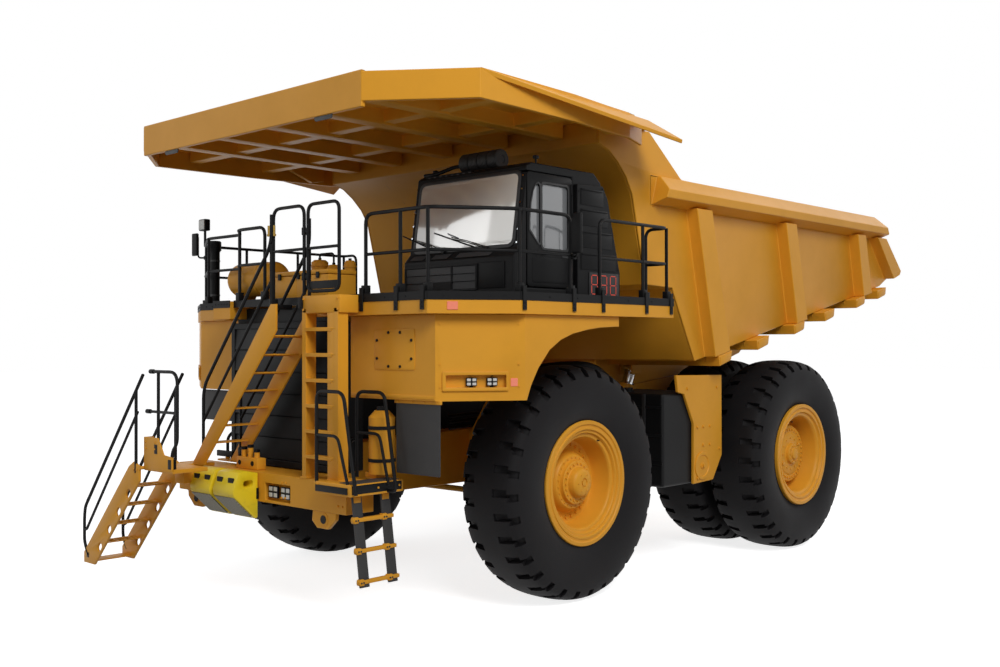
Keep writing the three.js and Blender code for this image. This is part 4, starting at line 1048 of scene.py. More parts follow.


# The windshield's pale colour at a cover of 0.82 is painted reflection, standing in for the sky
# seen in the glass.
painted_reflection_windshield = glazing("windshield_painted_reflection", "E2E0D8", 0.82, 2.5)
side_glass = glazing("tinted_side_glass", "8A8C8E", 0.75, 1.75)
seal = moulded("window_seal_rubber", "0E0E0F", 0.55)
trim = moulded("grained_cab_trim", "2E2D2C", 0.6)
lining = moulded("grained_cab_lining", "C4C0B6", 0.7)
screen = wire_screen("grille_wire_screen")

def leaning(origin, up):
    """A frame whose Z runs along up and whose -Y looks ahead, on a panel that leans back."""
    x, z = Vector((1, 0, 0)), Vector(up).normalized()
    turn = Matrix((x, z.cross(x), z)).transposed().to_4x4()
    return Matrix.Translation(origin) @ turn


CAB_FRONT = -1.35
dressed("cab_sheet_metal", "chassis", ["cab_shell"], [black], 0.022, 40)
pane_at = leaning(at(1.835, -1.25, 4.44), (0, 0.15, 1.0))
bm = bmesh.new()
plate(bm, "y", round_box(-0.848, 0.848, 0.040, 0.912, 0.07), -0.012, 0.004, (), 0, 0.002, pane_at)
# The pane carries the windshield's painted reflection.
piece("windshield_glass", "chassis", bm, [painted_reflection_windshield], ["windshield"])

bm = bmesh.new()
plate(bm, "y", round_box(-0.895, 0.895, -0.005, 0.957, 0.10), -0.014, 0.006,
      [round_box(-0.848, 0.848, 0.040, 0.912, 0.07)], 0, 0.005, pane_at)
for x in (-0.930, 0.930):
    for i in range(6):
        spot = pane_at @ Vector((x, -0.008, 0.05 + i * 0.165))
        cylinder(bm, spot, spot + pane_at.to_3x3() @ Vector((0, -0.012, 0)), 0.011, 10, 2)
# Wipers, parked along the bottom of the glass.
for x, reach in ((-0.30, -0.52), (0.45, -0.62)):
    for lift in (0.0, 0.018):
        tube(bm, [pane_at @ Vector((x, -0.035, 0.00 + lift)),
                  pane_at @ Vector((x + reach * 0.55, -0.050, 0.10 + lift)),
                  pane_at @ Vector((x + reach, -0.040, 0.16 + lift))], 0.006, 0.1, 1)
    tube(bm, [pane_at @ Vector((x + reach * 0.35, -0.025, 0.03)),
              pane_at @ Vector((x + reach * 1.55, -0.025, 0.26))], 0.009, 0.1, 1)
    spot = pane_at @ Vector((x, -0.020, 0.0))
    cylinder(bm, spot, spot + pane_at.to_3x3() @ Vector((0, -0.03, 0)), 0.026, 16, 1)
# Lower grille of three bays and three rows, and three sunk panels in the cowl above it.
plate(bm, "y", round_box(0.895, 2.205, 3.935, 4.265, 0.015), CAB_FRONT - 0.016, CAB_FRONT + 0.002,
      [round_box(0.92 + c * 0.427, 1.322 + c * 0.427, 3.96 + r * 0.096, 4.048 + r * 0.096, 0.008)
       for c in range(3) for r in range(3)], 1, 0.004)
plate(bm, "y", round_box(0.90, 2.20, 3.94, 4.26, 0.01), CAB_FRONT - 0.005, CAB_FRONT + 0.001, (), 3)
cowl_at = leaning(at(0, -1.35, 4.33), (0, 0.10, 0.11))
for x0, x1 in ((0.93, 1.28), (1.33, 1.72), (1.77, 2.45)):
    plate(bm, "y", [(x0, 0.015), (x1 - 0.06, 0.015), (x1, 0.125), (x0 + 0.05, 0.125)], -0.008,
          0.002, [[(x0 + 0.02, 0.027), (x1 - 0.07, 0.027), (x1 - 0.02, 0.113),
                   (x0 + 0.055, 0.113)]], 1, 0.003, cowl_at)
    plate(bm, "y", [(x0 + 0.01, 0.02), (x1 - 0.065, 0.02), (x1 - 0.01, 0.12), (x0 + 0.052, 0.12)],
          -0.002, 0.001, (), 3, 0.001, cowl_at)
# Folds in the nose panel beside the grille and along the sill.
block(bm, at(0.875, CAB_FRONT - 0.010, 3.86), at(2.795, CAB_FRONT + 0.002, 3.915), 1, 0.006)
block(bm, at(2.23, CAB_FRONT - 0.008, 3.95), at(2.66, CAB_FRONT + 0.002, 4.27), 1, 0.010)
piece("cab_front_fittings", "chassis", bm, [seal, black, mirror_glass, screen])


# ---- Cab door -----------------------------------------------------------------------------------
# A framed door hinged at its rear edge: a fixed quarter light and a dropping pane in rubber seals,
# a recessed pull handle and a grab bar.
DOOR_X = 2.80
QUARTER = [(-1.060, 4.66), (-0.905, 4.50), (-0.872, 4.50), (-0.865, 4.52), (-0.865, 5.16),
           (-0.875, 5.215), (-0.905, 5.235), (-0.950, 5.215), (-0.995, 5.13), (-1.035, 4.98),
           (-1.058, 4.80)]
DROP_PANE = round_box(-0.835, -0.325, 4.44, 5.245, 0.05)


def grown(outline, by):
    """An outline moved outwards from its middle by about the same distance all round."""
    cu = sum(u for u, v in outline) / len(outline)
    cv = sum(v for u, v in outline) / len(outline)
    us = max(abs(u - cu) for u, v in outline)
    vs = max(abs(v - cv) for u, v in outline)
    return [(cu + (u - cu) * (1 + by / us), cv + (v - cv) * (1 + by / vs)) for u, v in outline]


bm = bmesh.new()
plate(bm, "x", round_box(-1.105, -0.253, 3.968, 5.362, 0.05), DOOR_X - 0.043, DOOR_X + 0.002,
      [QUARTER, DROP_PANE], 0, 0.008)
for hole in (QUARTER, DROP_PANE):
    plate(bm, "x", grown(hole, 0.018), DOOR_X - 0.006, DOOR_X + 0.008, [grown(hole, -0.008)], 1,
          0.003)
plate(bm, "x", round_box(-1.02, -0.33, 4.02, 4.33, 0.04), DOOR_X - 0.004, DOOR_X + 0.006, (), 0,
      0.004)
plate(bm, "x", round_box(-0.46, -0.30, 4.345, 4.405, 0.02), DOOR_X - 0.004, DOOR_X + 0.010, (), 1,
      0.003)
tube(bm, [at(DOOR_X - 0.01, -1.00, 4.38), at(DOOR_X + 0.028, -1.00, 4.38),
          at(DOOR_X + 0.028, -0.76, 4.38), at(DOOR_X - 0.01, -0.76, 4.38)], 0.010, 0.02, 1)
for z in (4.12, 5.22):
    upright(bm, DOOR_X + 0.004, -0.262, z - 0.06, z + 0.06, 0.014, 12)
block(bm, at(DOOR_X - 0.070, -1.06, 4.00), at(DOOR_X - 0.042, -0.30, 4.40), 2, 0.012)
piece("cab_door_panel", "cab_door", bm, [black, seal, trim], ["cab_door"])

bm = bmesh.new()
for hole in (QUARTER, DROP_PANE):
    plate(bm, "x", grown(hole, 0.004), DOOR_X - 0.030, DOOR_X - 0.020, (), 0, 0.001)
piece("cab_door_glass", "cab_door", bm, [side_glass], ["door_window"])

bm = bmesh.new()
block(bm, at(0.893, -0.897, 4.523), at(0.903, -0.053, 5.297), 0, 0.002, 1)
block(bm, at(1.073, 0.315, 4.623), at(1.897, 0.325, 5.247), 0, 0.002, 1)
piece("cab_far_glass", "chassis", bm, [side_glass])
# Pale headlining and padded panels behind the seat.
bm = bmesh.new()
block(bm, at(0.95, 0.255, 4.05), at(2.65, 0.290, 5.28), 0, 0.01)
block(bm, at(0.95, -1.00, 5.330), at(2.65, 0.24, 5.352), 0, 0.008)
block(bm, at(0.905, -1.00, 4.02), at(0.925, 0.24, 4.50), 0, 0.008)
piece("cab_lining_panels", "chassis", bm, [lining])


# ---- Driver's seat and controls -----------------------------------------------------------------
# An air-sprung seat with bolstered cushions in a hard-wearing weave, and the dash, column and
# steering wheel ahead of it.
def woven(name, hex_colour, thread_hex):
    # Flat-woven polyester: crossing threads a millimetre or two apart, soft sheen.
    material, tree, place = new_material(name)
    warp, weft = [bands(tree, place, 60.0, axis, Distortion=0.4) for axis in "XZ"]
    threads = maths(tree, "MULTIPLY", warp, weft)
    return finished(material, tree, {
        "Base Color": blend(tree, threads, hex_colour, thread_hex), "Roughness": 0.85,
        "Sheen Weight": 0.3, "Normal": relief(tree, threads, 0.4, 0.001)})


cloth = woven("woven_seat_polyester", "34363A", "55585E")


def cushion(bm, low, high, crown, frame_at=Matrix()):
    """A stuffed pad between two corners: crowned faces, sides drawn in between the corners."""
    low, high = Vector(low), Vector(high)
    middle, half = (low + high) / 2, (high - low) / 2
    before = set(bm.verts)
    made = bmesh.ops.create_cube(bm, size=2.0)
    edges = list({e for v in made["verts"] for e in v.link_edges})
    bmesh.ops.bevel(bm, geom=edges, offset=0.35, affect="EDGES", segments=3, profile=0.5,
                    material=-1)
    new_edges = [e for e in bm.edges if e.verts[0] not in before]
    bmesh.ops.subdivide_edges(bm, edges=new_edges, cuts=2, use_grid_fill=True)
    for vert in (v for v in bm.verts if v not in before):
        x, y, z = vert.co
        swell = 1 + crown * (1 - x * x) * (1 - y * y)
        pull = 1 - 0.04 * (1 - z * z)
        vert.co = frame_at @ (middle + Vector((x * half.x * pull, y * half.y * pull,
                                               z * half.z * swell)))


bm = bmesh.new()
recline = Matrix.Translation(at(0, -0.20, 4.30)) @ Matrix.Rotation(math.radians(-9), 4, "X")
cushion(bm, at(1.61, -0.690, 4.20), at(2.09, -0.17, 4.335), 0.06)
cushion(bm, (1.62, -0.045, 0.03), (2.08, 0.045, 0.53), 0.04, recline)
cushion(bm, (1.70, -0.040, 0.53), (2.00, 0.040, 0.69), 0.04, recline)
for x in (1.63, 2.00):
    cushion(bm, at(x, -0.67, 4.27), at(x + 0.07, -0.20, 4.34), 0.05)
pad = piece("operator_seat_pads", "chassis", bm, [cloth], (), 60)
bm = bmesh.new()
block(bm, at(1.75, -0.44, 3.92), at(1.95, -0.14, 4.12), 0, 0.02)
for z in (3.96, 4.01, 4.06):
    block(bm, at(1.735, -0.455, z - 0.01), at(1.965, -0.125, z + 0.012), 0, 0.01)
block(bm, at(1.63, -0.66, 4.11), at(2.07, -0.16, 4.20), 0, 0.02)
for x in (1.60, 2.07):
    block(bm, at(x, -0.52, 4.47), at(x + 0.035, -0.22, 4.51), 0, 0.012)
    block(bm, at(x + 0.005, -0.25, 4.20), at(x + 0.030, -0.21, 4.48), 0, 0.008)
piece("operator_seat_base", "chassis", bm, [trim], ["operator_seat"])

bm = bmesh.new()
block(bm, at(1.05, -1.25, 4.00), at(2.60, -1.065, 4.33), 0, 0.035, 3)
block(bm, at(1.55, -1.09, 4.20), at(2.15, -1.055, 4.32), 1, 0.012)
cylinder(bm, at(1.85, -1.10, 4.08), at(1.85, -0.945, 4.585), 0.045, 16, 0, 0.032)
wheel_at = Matrix.Translation(at(1.85, -0.945, 4.585)) @ Matrix.Rotation(-0.35, 4, "X")
rim_points = [wheel_at @ Vector((0.205 * math.cos(t * math.tau / 32),
                                 0.205 * math.sin(t * math.tau / 32), 0)) for t in range(33)]
tube(bm, rim_points, 0.017, 0.0, 0)
for turn in (0.25, 0.58, 0.92):
    tube(bm, [wheel_at.translation, wheel_at @ Vector((0.20 * math.cos(turn * math.tau),
                                                       0.20 * math.sin(turn * math.tau), 0))],
         0.010, 0.0, 0)
cylinder(bm, wheel_at @ Vector((0, 0, -0.02)), wheel_at @ Vector((0, 0, 0.02)), 0.05, 20, 0)
piece("steering_console_trim", "chassis", bm, [trim, screen],
      ["steering_console"])


# ---- Equipment cabinet --------------------------------------------------------------------------
# The black sheet-steel cabinet behind the door, with folded louvres down its side and a generic
# three-figure segment display for the loader operator.
def glowing(name, hex_colour, strength):
    # Light-emitting segments behind a dark diffuser.
    material, tree, place = new_material(name)
    return finished(material, tree, {
        "Base Color": linear(hex_colour),
        "Roughness": remap(tree, noise(tree, place, 80.0), 0.25, 0.45),
        "Emission Color": linear(hex_colour), "Emission Strength": strength})


segment_red = glowing("display_segment_red", "D8442C", 0.25)
dressed("cab_cabinet_steel", "chassis", ["cab_cabinet"], [black], 0.012)
bm = bmesh.new()
for z, back in ((4.32, 0.56), (4.60, 0.48), (4.88, 0.40), (5.14, 0.30)):
    block(bm, at(2.868, -0.16, z - 0.105), at(2.878, back, z + 0.105), 0, 0.005)
    block(bm, at(2.874, -0.15, z + 0.082), at(2.888, back - 0.01, z + 0.10), 0, 0.005)
plate(bm, "x", round_box(0.00, 0.62, 3.875, 4.185, 0.015), 2.866, 2.880, (), 1, 0.004)
for digit in range(3):
    y0, y1 = 0.045 + digit * 0.195, 0.165 + digit * 0.195
    for z in (3.91, 4.03, 4.15):
        block(bm, at(2.879, y0 + 0.012, z - 0.006), at(2.883, y1 - 0.012, z + 0.006), 2, 0.002, 1)
    for y in (y0, y1):
        for z0, z1 in ((3.92, 4.02), (4.04, 4.14)):
            block(bm, at(2.879, y - 0.006, z0), at(2.883, y + 0.006, z1), 2, 0.002, 1)
bolts(bm, [at(2.87, y, z) for y, z in ((-0.20, 3.90), (-0.20, 4.55), (-0.20, 5.20), (0.62, 4.24),
                                       (0.29, 5.27))], (1, 0, 0), 0.010, 0.008)
piece("cab_cabinet_fittings", "chassis", bm, [black, seal, segment_red])


# ---- Roof filter drum ---------------------------------------------------------------------------
# The cab's air pre-cleaner: four ribbed plastic drums on one tube along the roof, on a pair of
# feet, with a row of small roof lamps ahead of it.
bm = bmesh.new()
DRUM = at(0, -0.76, 5.63)
ON_ROOF = 5.481
profile = [(1.410, 0.0)]
for i in range(4):
    x0 = 1.410 + i * 0.168
    profile += [(x0, 0.100), (x0 + 0.006, 0.120)]
    for k in range(6):
        x = x0 + 0.010 + k * 0.024
        profile += [(x, 0.129), (x + 0.012, 0.129), (x + 0.014, 0.122), (x + 0.022, 0.122)]
    profile += [(x0 + 0.156, 0.126), (x0 + 0.162, 0.100)]
profile += [(2.078, 0.100), (2.078, 0.052), (2.066, 0.044), (2.066, 0.0)]
spun(bm, profile, DRUM, 48)
for x in (1.51, 1.96):
    block(bm, at(x, -0.80, ON_ROOF), at(x + 0.06, -0.72, 5.56), 0, 0.01)
    block(bm, at(x - 0.02, -0.83, ON_ROOF), at(x + 0.08, -0.69, 5.492), 0, 0.003)
bolts(bm, ring_of(DRUM + Vector((2.078, 0, 0)), 0.076, 6), (1, 0, 0), 0.008, 0.002)
piece("roof_drum_cleaner", "chassis", bm, [trim], ["roof_drum"])

bm = bmesh.new()
block(bm, at(1.00, -1.085, 5.405), at(1.86, -1.045, 5.47), 0, 0.01)
for i in range(8):
    x = 1.06 + i * 0.105
    block(bm, at(x, -1.092, 5.42), at(x + 0.045, -1.083, 5.455), 1, 0.004)
tube(bm, [at(0.92, -1.02, 5.50), at(1.15, -1.02, 5.50), at(1.32, -0.85, 5.60),
          at(1.42, -0.80, 5.60)], 0.026, 0.12, 0)
for x in (0.95, 2.72):
    tube(bm, [at(x, -0.85, 5.475), at(x, -0.85, 5.56)], 0.012, 0.1, 0)
    block(bm, at(x - 0.03, -0.88, 5.545), at(x + 0.03, -0.82, 5.59), 0, 0.012)
piece("cab_roof_lamps", "chassis", bm, [black, trim])


# ---- Radiator -----------------------------------------------------------------------------------
# The cooling pack behind a black guard: six broad folded panels, lapped, in a deep frame.
dressed("radiator_frame", "chassis", ["radiator_guard"], [black], 0.010)
bm = bmesh.new()
for i in range(6):
    z = 1.80 + i * 0.282
    plate(bm, "x", [(-2.596, z), (-2.590, z + 0.010), (-2.572, z + 0.262), (-2.580, z + 0.266)],
          -1.125, 0.855, (), 0, 0.002)
bolts(bm, [at(x, -2.60, z) for x in (-1.175, 0.90) for z in (1.76, 2.2, 2.65, 3.1, 3.52)],
      AHEAD, 0.014, 0.012)
block(bm, at(-1.20, -2.50, 3.555), at(0.92, -2.485, 3.75), 0, 0.003, 1)
piece("radiator_slats", "chassis", bm, [black])


# ---- Equipment on the right deck ----------------------------------------------------------------
# A battery box with a hinged lid and latches, two filter canisters, the round-ended air receiver
# in strap bands on its feet, and the black intake stack with its rain collar.
bm = bmesh.new()
block(bm, at(-0.65, -2.35, ON_DECK), at(0.56, -1.90, 4.165), 0, 0.012)
block(bm, at(-0.655, -2.358, 4.170), at(0.565, -1.895, 4.228), 0, 0.014)
for x in (-0.45, -0.05, 0.36):
    block(bm, at(x - 0.03, -2.372, 4.12), at(x + 0.03, -2.352, 4.20), 1, 0.006)
block(bm, at(-0.60, -2.354, 3.90), at(-0.10, -2.347, 4.12), 0, 0.004)
block(bm, at(0.0, -2.354, 3.90), at(0.50, -2.347, 4.12), 0, 0.004)
piece("battery_box_steel", "chassis", bm, [yellow, black], ["battery_box"])

bm = bmesh.new()
for x, r, top in ((-0.42, 0.115, 4.42), (-0.12, 0.09, 4.34), (0.22, 0.075, 4.38)):
    upright(bm, x, -1.72, ON_DECK, top - 0.03, r, 28)
    upright(bm, x, -1.72, top - 0.03, top, r, 28, 0, r * 0.7)
    upright(bm, x, -1.72, top - 0.09, top - 0.07, r + 0.012, 28)
    upright(bm, x, -1.72, top, top + 0.03, 0.022, 12, 1)
tube(bm, [at(-0.42, -1.72, 4.44), at(-0.42, -1.72, 4.50), at(-0.12, -1.72, 4.50),
          at(-0.12, -1.72, 4.36)], 0.014, 0.06, 1)
tube(bm, [at(-0.12, -1.80, 4.10), at(0.05, -1.86, 4.10), at(0.22, -1.79, 4.16)], 0.016, 0.06, 1)
piece("deck_filter_canisters", "chassis", bm, [yellow, black])

bm = bmesh.new()
TANK = at(0, -2.03, 4.18)
SHELL = 0.236
end = [(0.0, 1.0), (0.030, 0.995), (0.066, 0.93), (0.094, 0.80), (0.112, 0.62), (0.122, 0.40),
       (0.127, 0.2), (0.128, 0.0)]
profile = [(-1.90 + 0.128 - x, r * SHELL) for x, r in end[::-1]]
profile += [(-1.60, SHELL), (-1.595, SHELL + 0.006), (-1.55, SHELL + 0.006), (-1.545, SHELL),
            (-1.245, SHELL), (-1.24, SHELL + 0.006), (-1.195, SHELL + 0.006), (-1.19, SHELL)]
profile += [(-0.90 - 0.128 + x, r * SHELL) for x, r in end]
spun(bm, profile, TANK, 56)
for x in (-1.70, -1.10):
    plate(bm, "x", [(-2.13, ON_DECK), (-1.93, ON_DECK), (-1.86, 4.02), (-2.20, 4.02)], x - 0.045,
          x + 0.045, (), 0, 0.004)
    block(bm, at(x - 0.07, -2.15, ON_DECK), at(x + 0.07, -1.91, 3.866), 0, 0.004)
cylinder(bm, at(-0.93, -2.03, 4.18), at(-0.885, -2.03, 4.18), 0.05, 16)
bolts(bm, ring_of(at(-0.893, -2.03, 4.18), 0.036, 6), (1, 0, 0), 0.006, 0.006, 1)
tube(bm, [at(-0.905, -2.03, 4.18), at(-0.82, -2.03, 4.18), at(-0.80, -2.10, 4.05),
          at(-0.80, -2.10, 3.86)], 0.013, 0.05, 1)
piece("air_receiver", "chassis", bm, [yellow, black], ["air_tank"], 40)

bm = bmesh.new()
POST = (-3.20, -1.58)
upright(bm, *POST, ON_DECK, 4.70, 0.074, 28)
for z0, z1, r in ((4.70, 4.72, 0.082), (4.72, 4.85, 0.097), (4.40, 4.43, 0.080),
                  (ON_DECK, 3.875, 0.095)):
    upright(bm, *POST, z0, z1, r, 28)
upright(bm, *POST, 4.85, 4.869, 0.097, 28, 0, 0.080)
for z in (4.02, 4.55):
    upright(bm, *POST, z, z + 0.025, 0.079, 28, 1)
piece("intake_stack", "chassis", bm, [black, seal], ["intake_post"], 40)


# ---- Wheel chocks -------------------------------------------------------------------------------
# Two wedges of moulded safety-yellow plastic hung on the bumper, each with a hand hole moulded
# through its top and a grey cross-hatched face that grips the tyre.
def moulded_plastic(name, hex_colour, worn_hex):
    # Self-coloured polyurethane with scuffs where it is dragged.
    material, tree, place = new_material(name)
    scuff = noise(tree, place, 9.0, Detail=9.0, Roughness=0.7)
    scuffed = remap(tree, scuff, 0.0, 0.6, 0.55, 0.75)
    return finished(material, tree, {
        "Base Color": blend(tree, scuffed, hex_colour, worn_hex), "Roughness": 0.45,
        "Normal": relief(tree, scuff, 0.2, 0.003)})


def hatched(name, hex_colour, line_hex):
    # A moulded diamond tread on the chock's gripping face.
    material, tree, place = new_material(name)
    lines = []
    for turn in (math.radians(45), math.radians(-45)):
        turned = node(tree, "ShaderNodeMapping", {"Vector": place, "Rotation": (0, turn, 0)})
        lines.append(bands(tree, turned.outputs["Vector"], 14.0))
    cross = maths(tree, "MAXIMUM", *lines)
    return finished(material, tree, {
        "Base Color": blend(tree, cross, line_hex, hex_colour), "Roughness": 0.7,
        "Normal": relief(tree, cross, 0.7, 0.006)})


chock_yellow = moulded_plastic("safety_yellow_polyurethane", "EED01A", "C8AC1E")
chock_grip = hatched("grey_diamond_tread", "8E8A7C", "5E5B52")
CHOCK = [(-3.062, 1.685), (-3.16, 1.705), (-3.22, 1.720), (-3.33, 1.702), (-3.350, 1.690),
         (-3.426, 1.49), (-3.418, 1.422), (-3.112, 1.126), (-3.085, 1.122), (-3.062, 1.135)]
bm = bmesh.new()
for x in (-0.905, -0.385):
    plate(bm, "x", CHOCK, x + 0.004, x + 0.456, [round_box(-3.27, -3.13, 1.52, 1.60, 0.035)], 0,
          0.016)
    for inset in (0.05, 0.29):
        block(bm, at(x + inset, -3.392, 1.55), at(x + inset + 0.12, -3.372, 1.64), 2, 0.006, 1)
    tilt = Matrix.Translation(at(x + 0.23, -3.272, 1.276)) @ Matrix.Rotation(
        math.radians(-44), 4, "X")
    block(bm, (-0.205, -0.185, -0.012), (0.205, 0.185, 0.003), 1, 0.004, 1, tilt)
block(bm, at(-0.905, -3.09, 1.36), at(0.075, -3.051, 1.50), 2, 0.006)
piece("wheel_chock_pair", "chassis", bm, [chock_yellow, chock_grip, black],
      ["wheel_chocks"], 40)


# ---- Tanks and side guard -----------------------------------------------------------------------
# The black fuel tank with pressed bands, the enamelled hydraulic tank across the truck, and the
# cut guard plate bolted over the fuel tank's outer end.
dressed("fuel_tank_steel", "chassis", ["fuel_tank"], [black], 0.045)
dressed("hydraulic_tank_steel", "chassis", ["hydraulic_tank"], [yellow], 0.045)
dressed("tank_guard_plate", "chassis", ["tank_guard"], [yellow], 0.010)
bm = bmesh.new()
for z in (1.55, 1.95, 2.35):
    block(bm, at(1.255, 1.938, z), at(2.645, 1.956, z + 0.035), 0, 0.008)
for x in (1.50, 2.30):
    block(bm, at(x, 1.934, 1.24), at(x + 0.06, 1.952, 2.555), 1, 0.006)
spun(bm, [(0.0, 0.205), (0.012, 0.205), (0.016, 0.200), (0.016, 0.160), (0.002, 0.150),
          (0.002, 0.050), (0.014, 0.046), (0.014, 0.0), (-0.004, 0.0), (-0.004, 0.205)],
     at(2.70, 2.90, 1.475), 40, 2)
bolts(bm, [at(2.70, y, z) for y, z in ((2.76, 2.05), (2.92, 2.05), (3.10, 2.05), (3.10, 1.78),
                                       (2.92, 1.78), (3.10, 1.50), (2.50, 2.62), (3.30, 2.62),
                                       (3.36, 1.70), (2.76, 1.30))], (1, 0, 0), 0.020, 0.018, 2)
bolts(bm, [at(2.714, 2.90, 1.475)], (1, 0, 0), 0.026, 0.022, 2)
upright(bm, 1.80, 2.30, 2.55, 2.62, 0.07, 24)
for y in (2.10, 2.75, 3.05):
    block(bm, at(-2.612, y, 1.32), at(-2.590, y + 0.05, 2.48), 2, 0.006)
block(bm, at(-2.612, 2.32, 1.70), at(-2.596, 2.62, 2.10), 2, 0.008)
piece("tank_fittings", "chassis", bm, [black, seal, yellow])

# Duct, filter canister and hoses between the frame and the deck, ahead of the fuel tank: fixed
# lines in black rubber and steel clamped along the frame.
bm = bmesh.new()
for z in (2.30, 2.22, 2.14):
    tube(bm, [at(0.94, -0.6, z), at(0.94, 0.7, z + 0.05), at(0.94, 1.62, z + 0.02),
              at(1.22, 1.93, z - 0.1)], 0.024, 0.2)
tube(bm, [at(1.05, 0.9, 2.90), at(1.55, 1.0, 2.97), at(1.90, 1.3, 2.97), at(1.95, 1.90, 2.60)],
     0.060, 0.25)
for y in (0.9, 1.5):
    block(bm, at(0.905, y, 2.08), at(0.972, y + 0.05, 2.36), 1, 0.006)
upright(bm, 1.15, 1.74, 2.16, 2.66, 0.12, 28, 1)
upright(bm, 1.15, 1.74, 2.66, 2.72, 0.12, 28, 1, 0.07)
upright(bm, 1.15, 1.74, 2.22, 2.25, 0.127, 28)
block(bm, at(0.905, 1.69, 2.12), at(1.15, 1.79, 2.17), 1, 0.008)
piece("frame_side_lines", "chassis", bm, [black, yellow], (), 45)

bm = bmesh.new()
for x in (-1.45, -1.32, -1.19):
    tube(bm, [at(x, -2.50, 1.72), at(x, -2.50, 2.02), at(x + 0.10, -2.30, 2.18),
              at(x + 0.2, -1.9, 2.22)], 0.022, 0.08)
    upright(bm, x, -2.50, 1.70, 1.76, 0.034, 6, 1)
block(bm, at(-1.55, -2.60, 1.69), at(-1.08, -2.40, 1.715), 1, 0.006)
block(bm, at(-1.50, -2.645, 1.76), at(-1.12, -2.605, 1.84), 0, 0.008)
for x in (1.18, 1.30):
    tube(bm, [at(x, -2.62, 1.74), at(x, -2.62, 1.95), at(x - 0.14, -2.50, 2.10),
              at(x - 0.22, -2.30, 2.12)], 0.018, 0.08)
# The valve block on the bumper, with its caps, and the oil filter bowl beside the ladder.
block(bm, at(-0.56, -2.96, 1.692), at(-0.10, -2.82, 1.84), 1, 0.014)
for x, top in ((-0.48, 1.93), (-0.34, 1.96), (-0.20, 1.91)):
    upright(bm, x, -2.89, 1.83, top, 0.036, 16, 1)
    upright(bm, x, -2.89, top, top + 0.035, 0.046, 6, 0)
for x in (-0.48, -0.20):
    cylinder(bm, at(x, -2.965, 1.77), at(x, -2.945, 1.77), 0.032, 16, 0)
upright(bm, 1.75, -2.50, 1.76, 2.42, 0.155, 32, 1)
upright(bm, 1.75, -2.50, 2.42, 2.50, 0.155, 32, 1, 0.085)
upright(bm, 1.75, -2.50, 2.50, 2.545, 0.060, 16, 0)
for z in (1.90, 2.28):
    upright(bm, 1.75, -2.50, z, z + 0.04, 0.163, 32, 0)
block(bm, at(1.56, -2.60, 1.70), at(1.76, -2.40, 1.775), 1, 0.008)
piece("front_hydraulic_fittings", "chassis", bm, [black, yellow], (), 45)


# ---- Dump body ----------------------------------------------------------------------------------
# Wear-plate floor on box bolsters, side plates with hollow ribs and a folded top rail, the raked
# front wall and the canopy that reaches forward over the cab, all welded and enamelled; the inside
# is scoured by rock.
def scoured(name, hex_colour, bare_hex):
    # Enamel worn through by sliding rock: long scratches down the body and dull bare steel.
    material, tree, place = new_material(name)
    drawn = node(tree, "ShaderNodeMapping", {"Vector": place, "Scale": (9.0, 0.7, 3.0)})
    scratch = noise(tree, drawn.outputs["Vector"], 1.6, Detail=9.0, Roughness=0.68)
    worn = remap(tree, scratch, 0.0, 1.0, 0.48, 0.66)
    return finished(material, tree, {
        "Base Color": blend(tree, worn, hex_colour, bare_hex), "Roughness": 0.55,
        "Normal": relief(tree, scratch, 0.35)})


bed_steel = scoured("scoured_bed_plate", "C08F3A", "8D8478")
DUMP = "dump_body"
floor_plate = dressed("body_floor_steel", DUMP, ["body_floor"], [yellow, bed_steel],
                      0.010)
for face in floor_plate.data.polygons:
    face.material_index = int(face.normal.z > 0.8 and face.area > 4)
wall = dressed("body_front_wall_steel", DUMP, ["body_front_wall"], [yellow, bed_steel],
               0.012)
for face in wall.data.polygons:
    face.material_index = int(face.normal.y > 0.5)
dressed("body_canopy_steel", DUMP, ["body_canopy"], [yellow], 0.012)
for side in ("left", "right"):
    dressed(f"body_{side}_side_steel", DUMP, [f"body_{side}_side"], [yellow], 0.014)

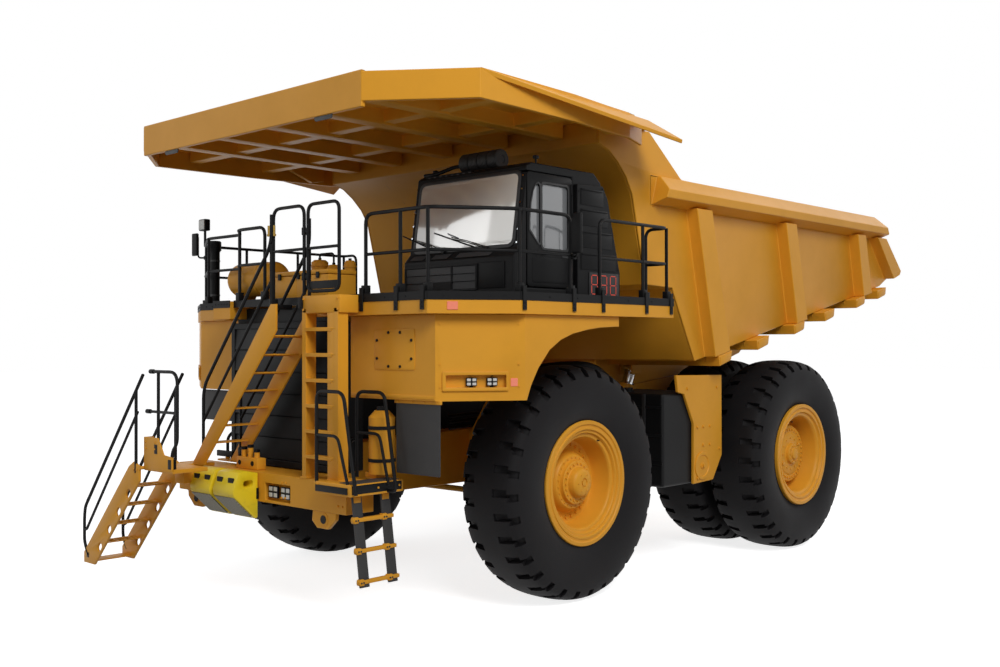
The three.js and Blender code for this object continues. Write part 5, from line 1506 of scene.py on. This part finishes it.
# Lugs at the ends of the bolsters, hinge bosses, weld beads and the gussets under the canopy.
bm = bmesh.new()
FLOOR_RISE = 0.21                 # metres up for each metre back
HINGE = (6.42, 2.70)              # how far back the body's pin is, and how high
for y in (2.96, 4.06, 5.23, 6.30, 7.50, 8.38):
    for sign in (1, -1):
        z = 3.02 + FLOOR_RISE * (y - 2.62)
        plate(bm, "x", [(y + 0.05, z - 0.13), (y + 0.33, z - 0.05), (y + 0.35, z + 0.05),
                        (y + 0.03, z - 0.02)], sign * 2.949, sign * 2.957, (), 0, 0.002)
for sign in (1, -1):
    # Hinge bosses at the pivot, with their bolts.
    cylinder(bm, at(sign * 0.545, *HINGE), at(sign * 0.625, *HINGE), 0.095, 28)
    bolts(bm, ring_of(at(sign * 0.545, *HINGE), 0.070, 6), (-sign, 0, 0), 0.012, 0.010)
    # Edge beads where the rail meets the side plate.
    tube(bm, [at(sign * 2.764, 1.75, 5.605), at(sign * 2.764, 8.45, 5.515)], 0.010)
    tube(bm, [at(sign * 2.766, 1.55, 5.180), at(sign * 2.766, 8.60, 5.180)], 0.009)
    # Gusset box under the canopy's wing.
    plate(bm, "x", [(-0.35, 6.19), (0.40, 6.19), (0.40, 5.98), (0.15, 5.94), (-0.25, 6.08)],
          sign * 3.02, sign * 3.10, (), 0, 0.006)
piece("body_fittings", DUMP, bm, [yellow], (), 45)

bm = bmesh.new()
for x in (-1.62, 1.62):
    plate(bm, "y", round_box(x - 0.16, x + 0.16, 5.82, 6.00, 0.03), -3.262, -3.250, (), 0, 0.003)
piece("canopy_rubber_flaps", DUMP, bm, [seal], (), 45)


# ---- Mud flaps ----------------------------------------------------------------------------------
# Sheet rubber flaps hung ahead of the front wheels, under the fenders.
bm = bmesh.new()
plate(bm, "y", round_box(2.07, 2.79, 1.80, 2.63, 0.02), -2.56, -2.548, (), 0, 0.002)
block(bm, at(2.05, -2.572, 2.60), at(2.81, -2.540, 2.645), 1, 0.006)
bolts(bm, [at(x, -2.572, 2.622) for x in (2.12, 2.36, 2.55, 2.75)], AHEAD, 0.012, 0.010, 1)
plate(bm, "y", round_box(-2.40, -1.70, 2.20, 2.63, 0.02), -2.275, -2.263, (), 0, 0.002)
piece("front_mud_flaps", "chassis", bm, [belt, yellow], (), 45)


# ---- Hoist cylinders ----------------------------------------------------------------------------
# Two-stage hydraulic rams: an enamelled barrel on its lower pin, a hard-chromed stage and a
# hard-chromed rod that ends in the upper eye.
def chromed(name, hex_colour):
    # Ground and hard-chromed bar: bright, with the finest rings left by grinding.
    material, tree, place = new_material(name)
    rings = noise(tree, place, 45.0, Detail=3.0)
    return finished(material, tree, {"Base Color": linear(hex_colour), "Metallic": 1.0,
                                     "Roughness": remap(tree, rings, 0.10, 0.22)})


chrome = chromed("hard_chromed_bar", "C9CCCF")
for side in ("left", "right"):
    for part, material, slot_name in (("barrel", yellow, "body_yellow"),
                                      ("stage", chrome, "rod_chrome"),
                                      ("rod", chrome, "rod_chrome")):
        dressed(f"{side}_hoist_{part}_steel", f"{side}_hoist_{part}", [f"{side}_hoist_{part}"],
                [material], 0.004, 40)
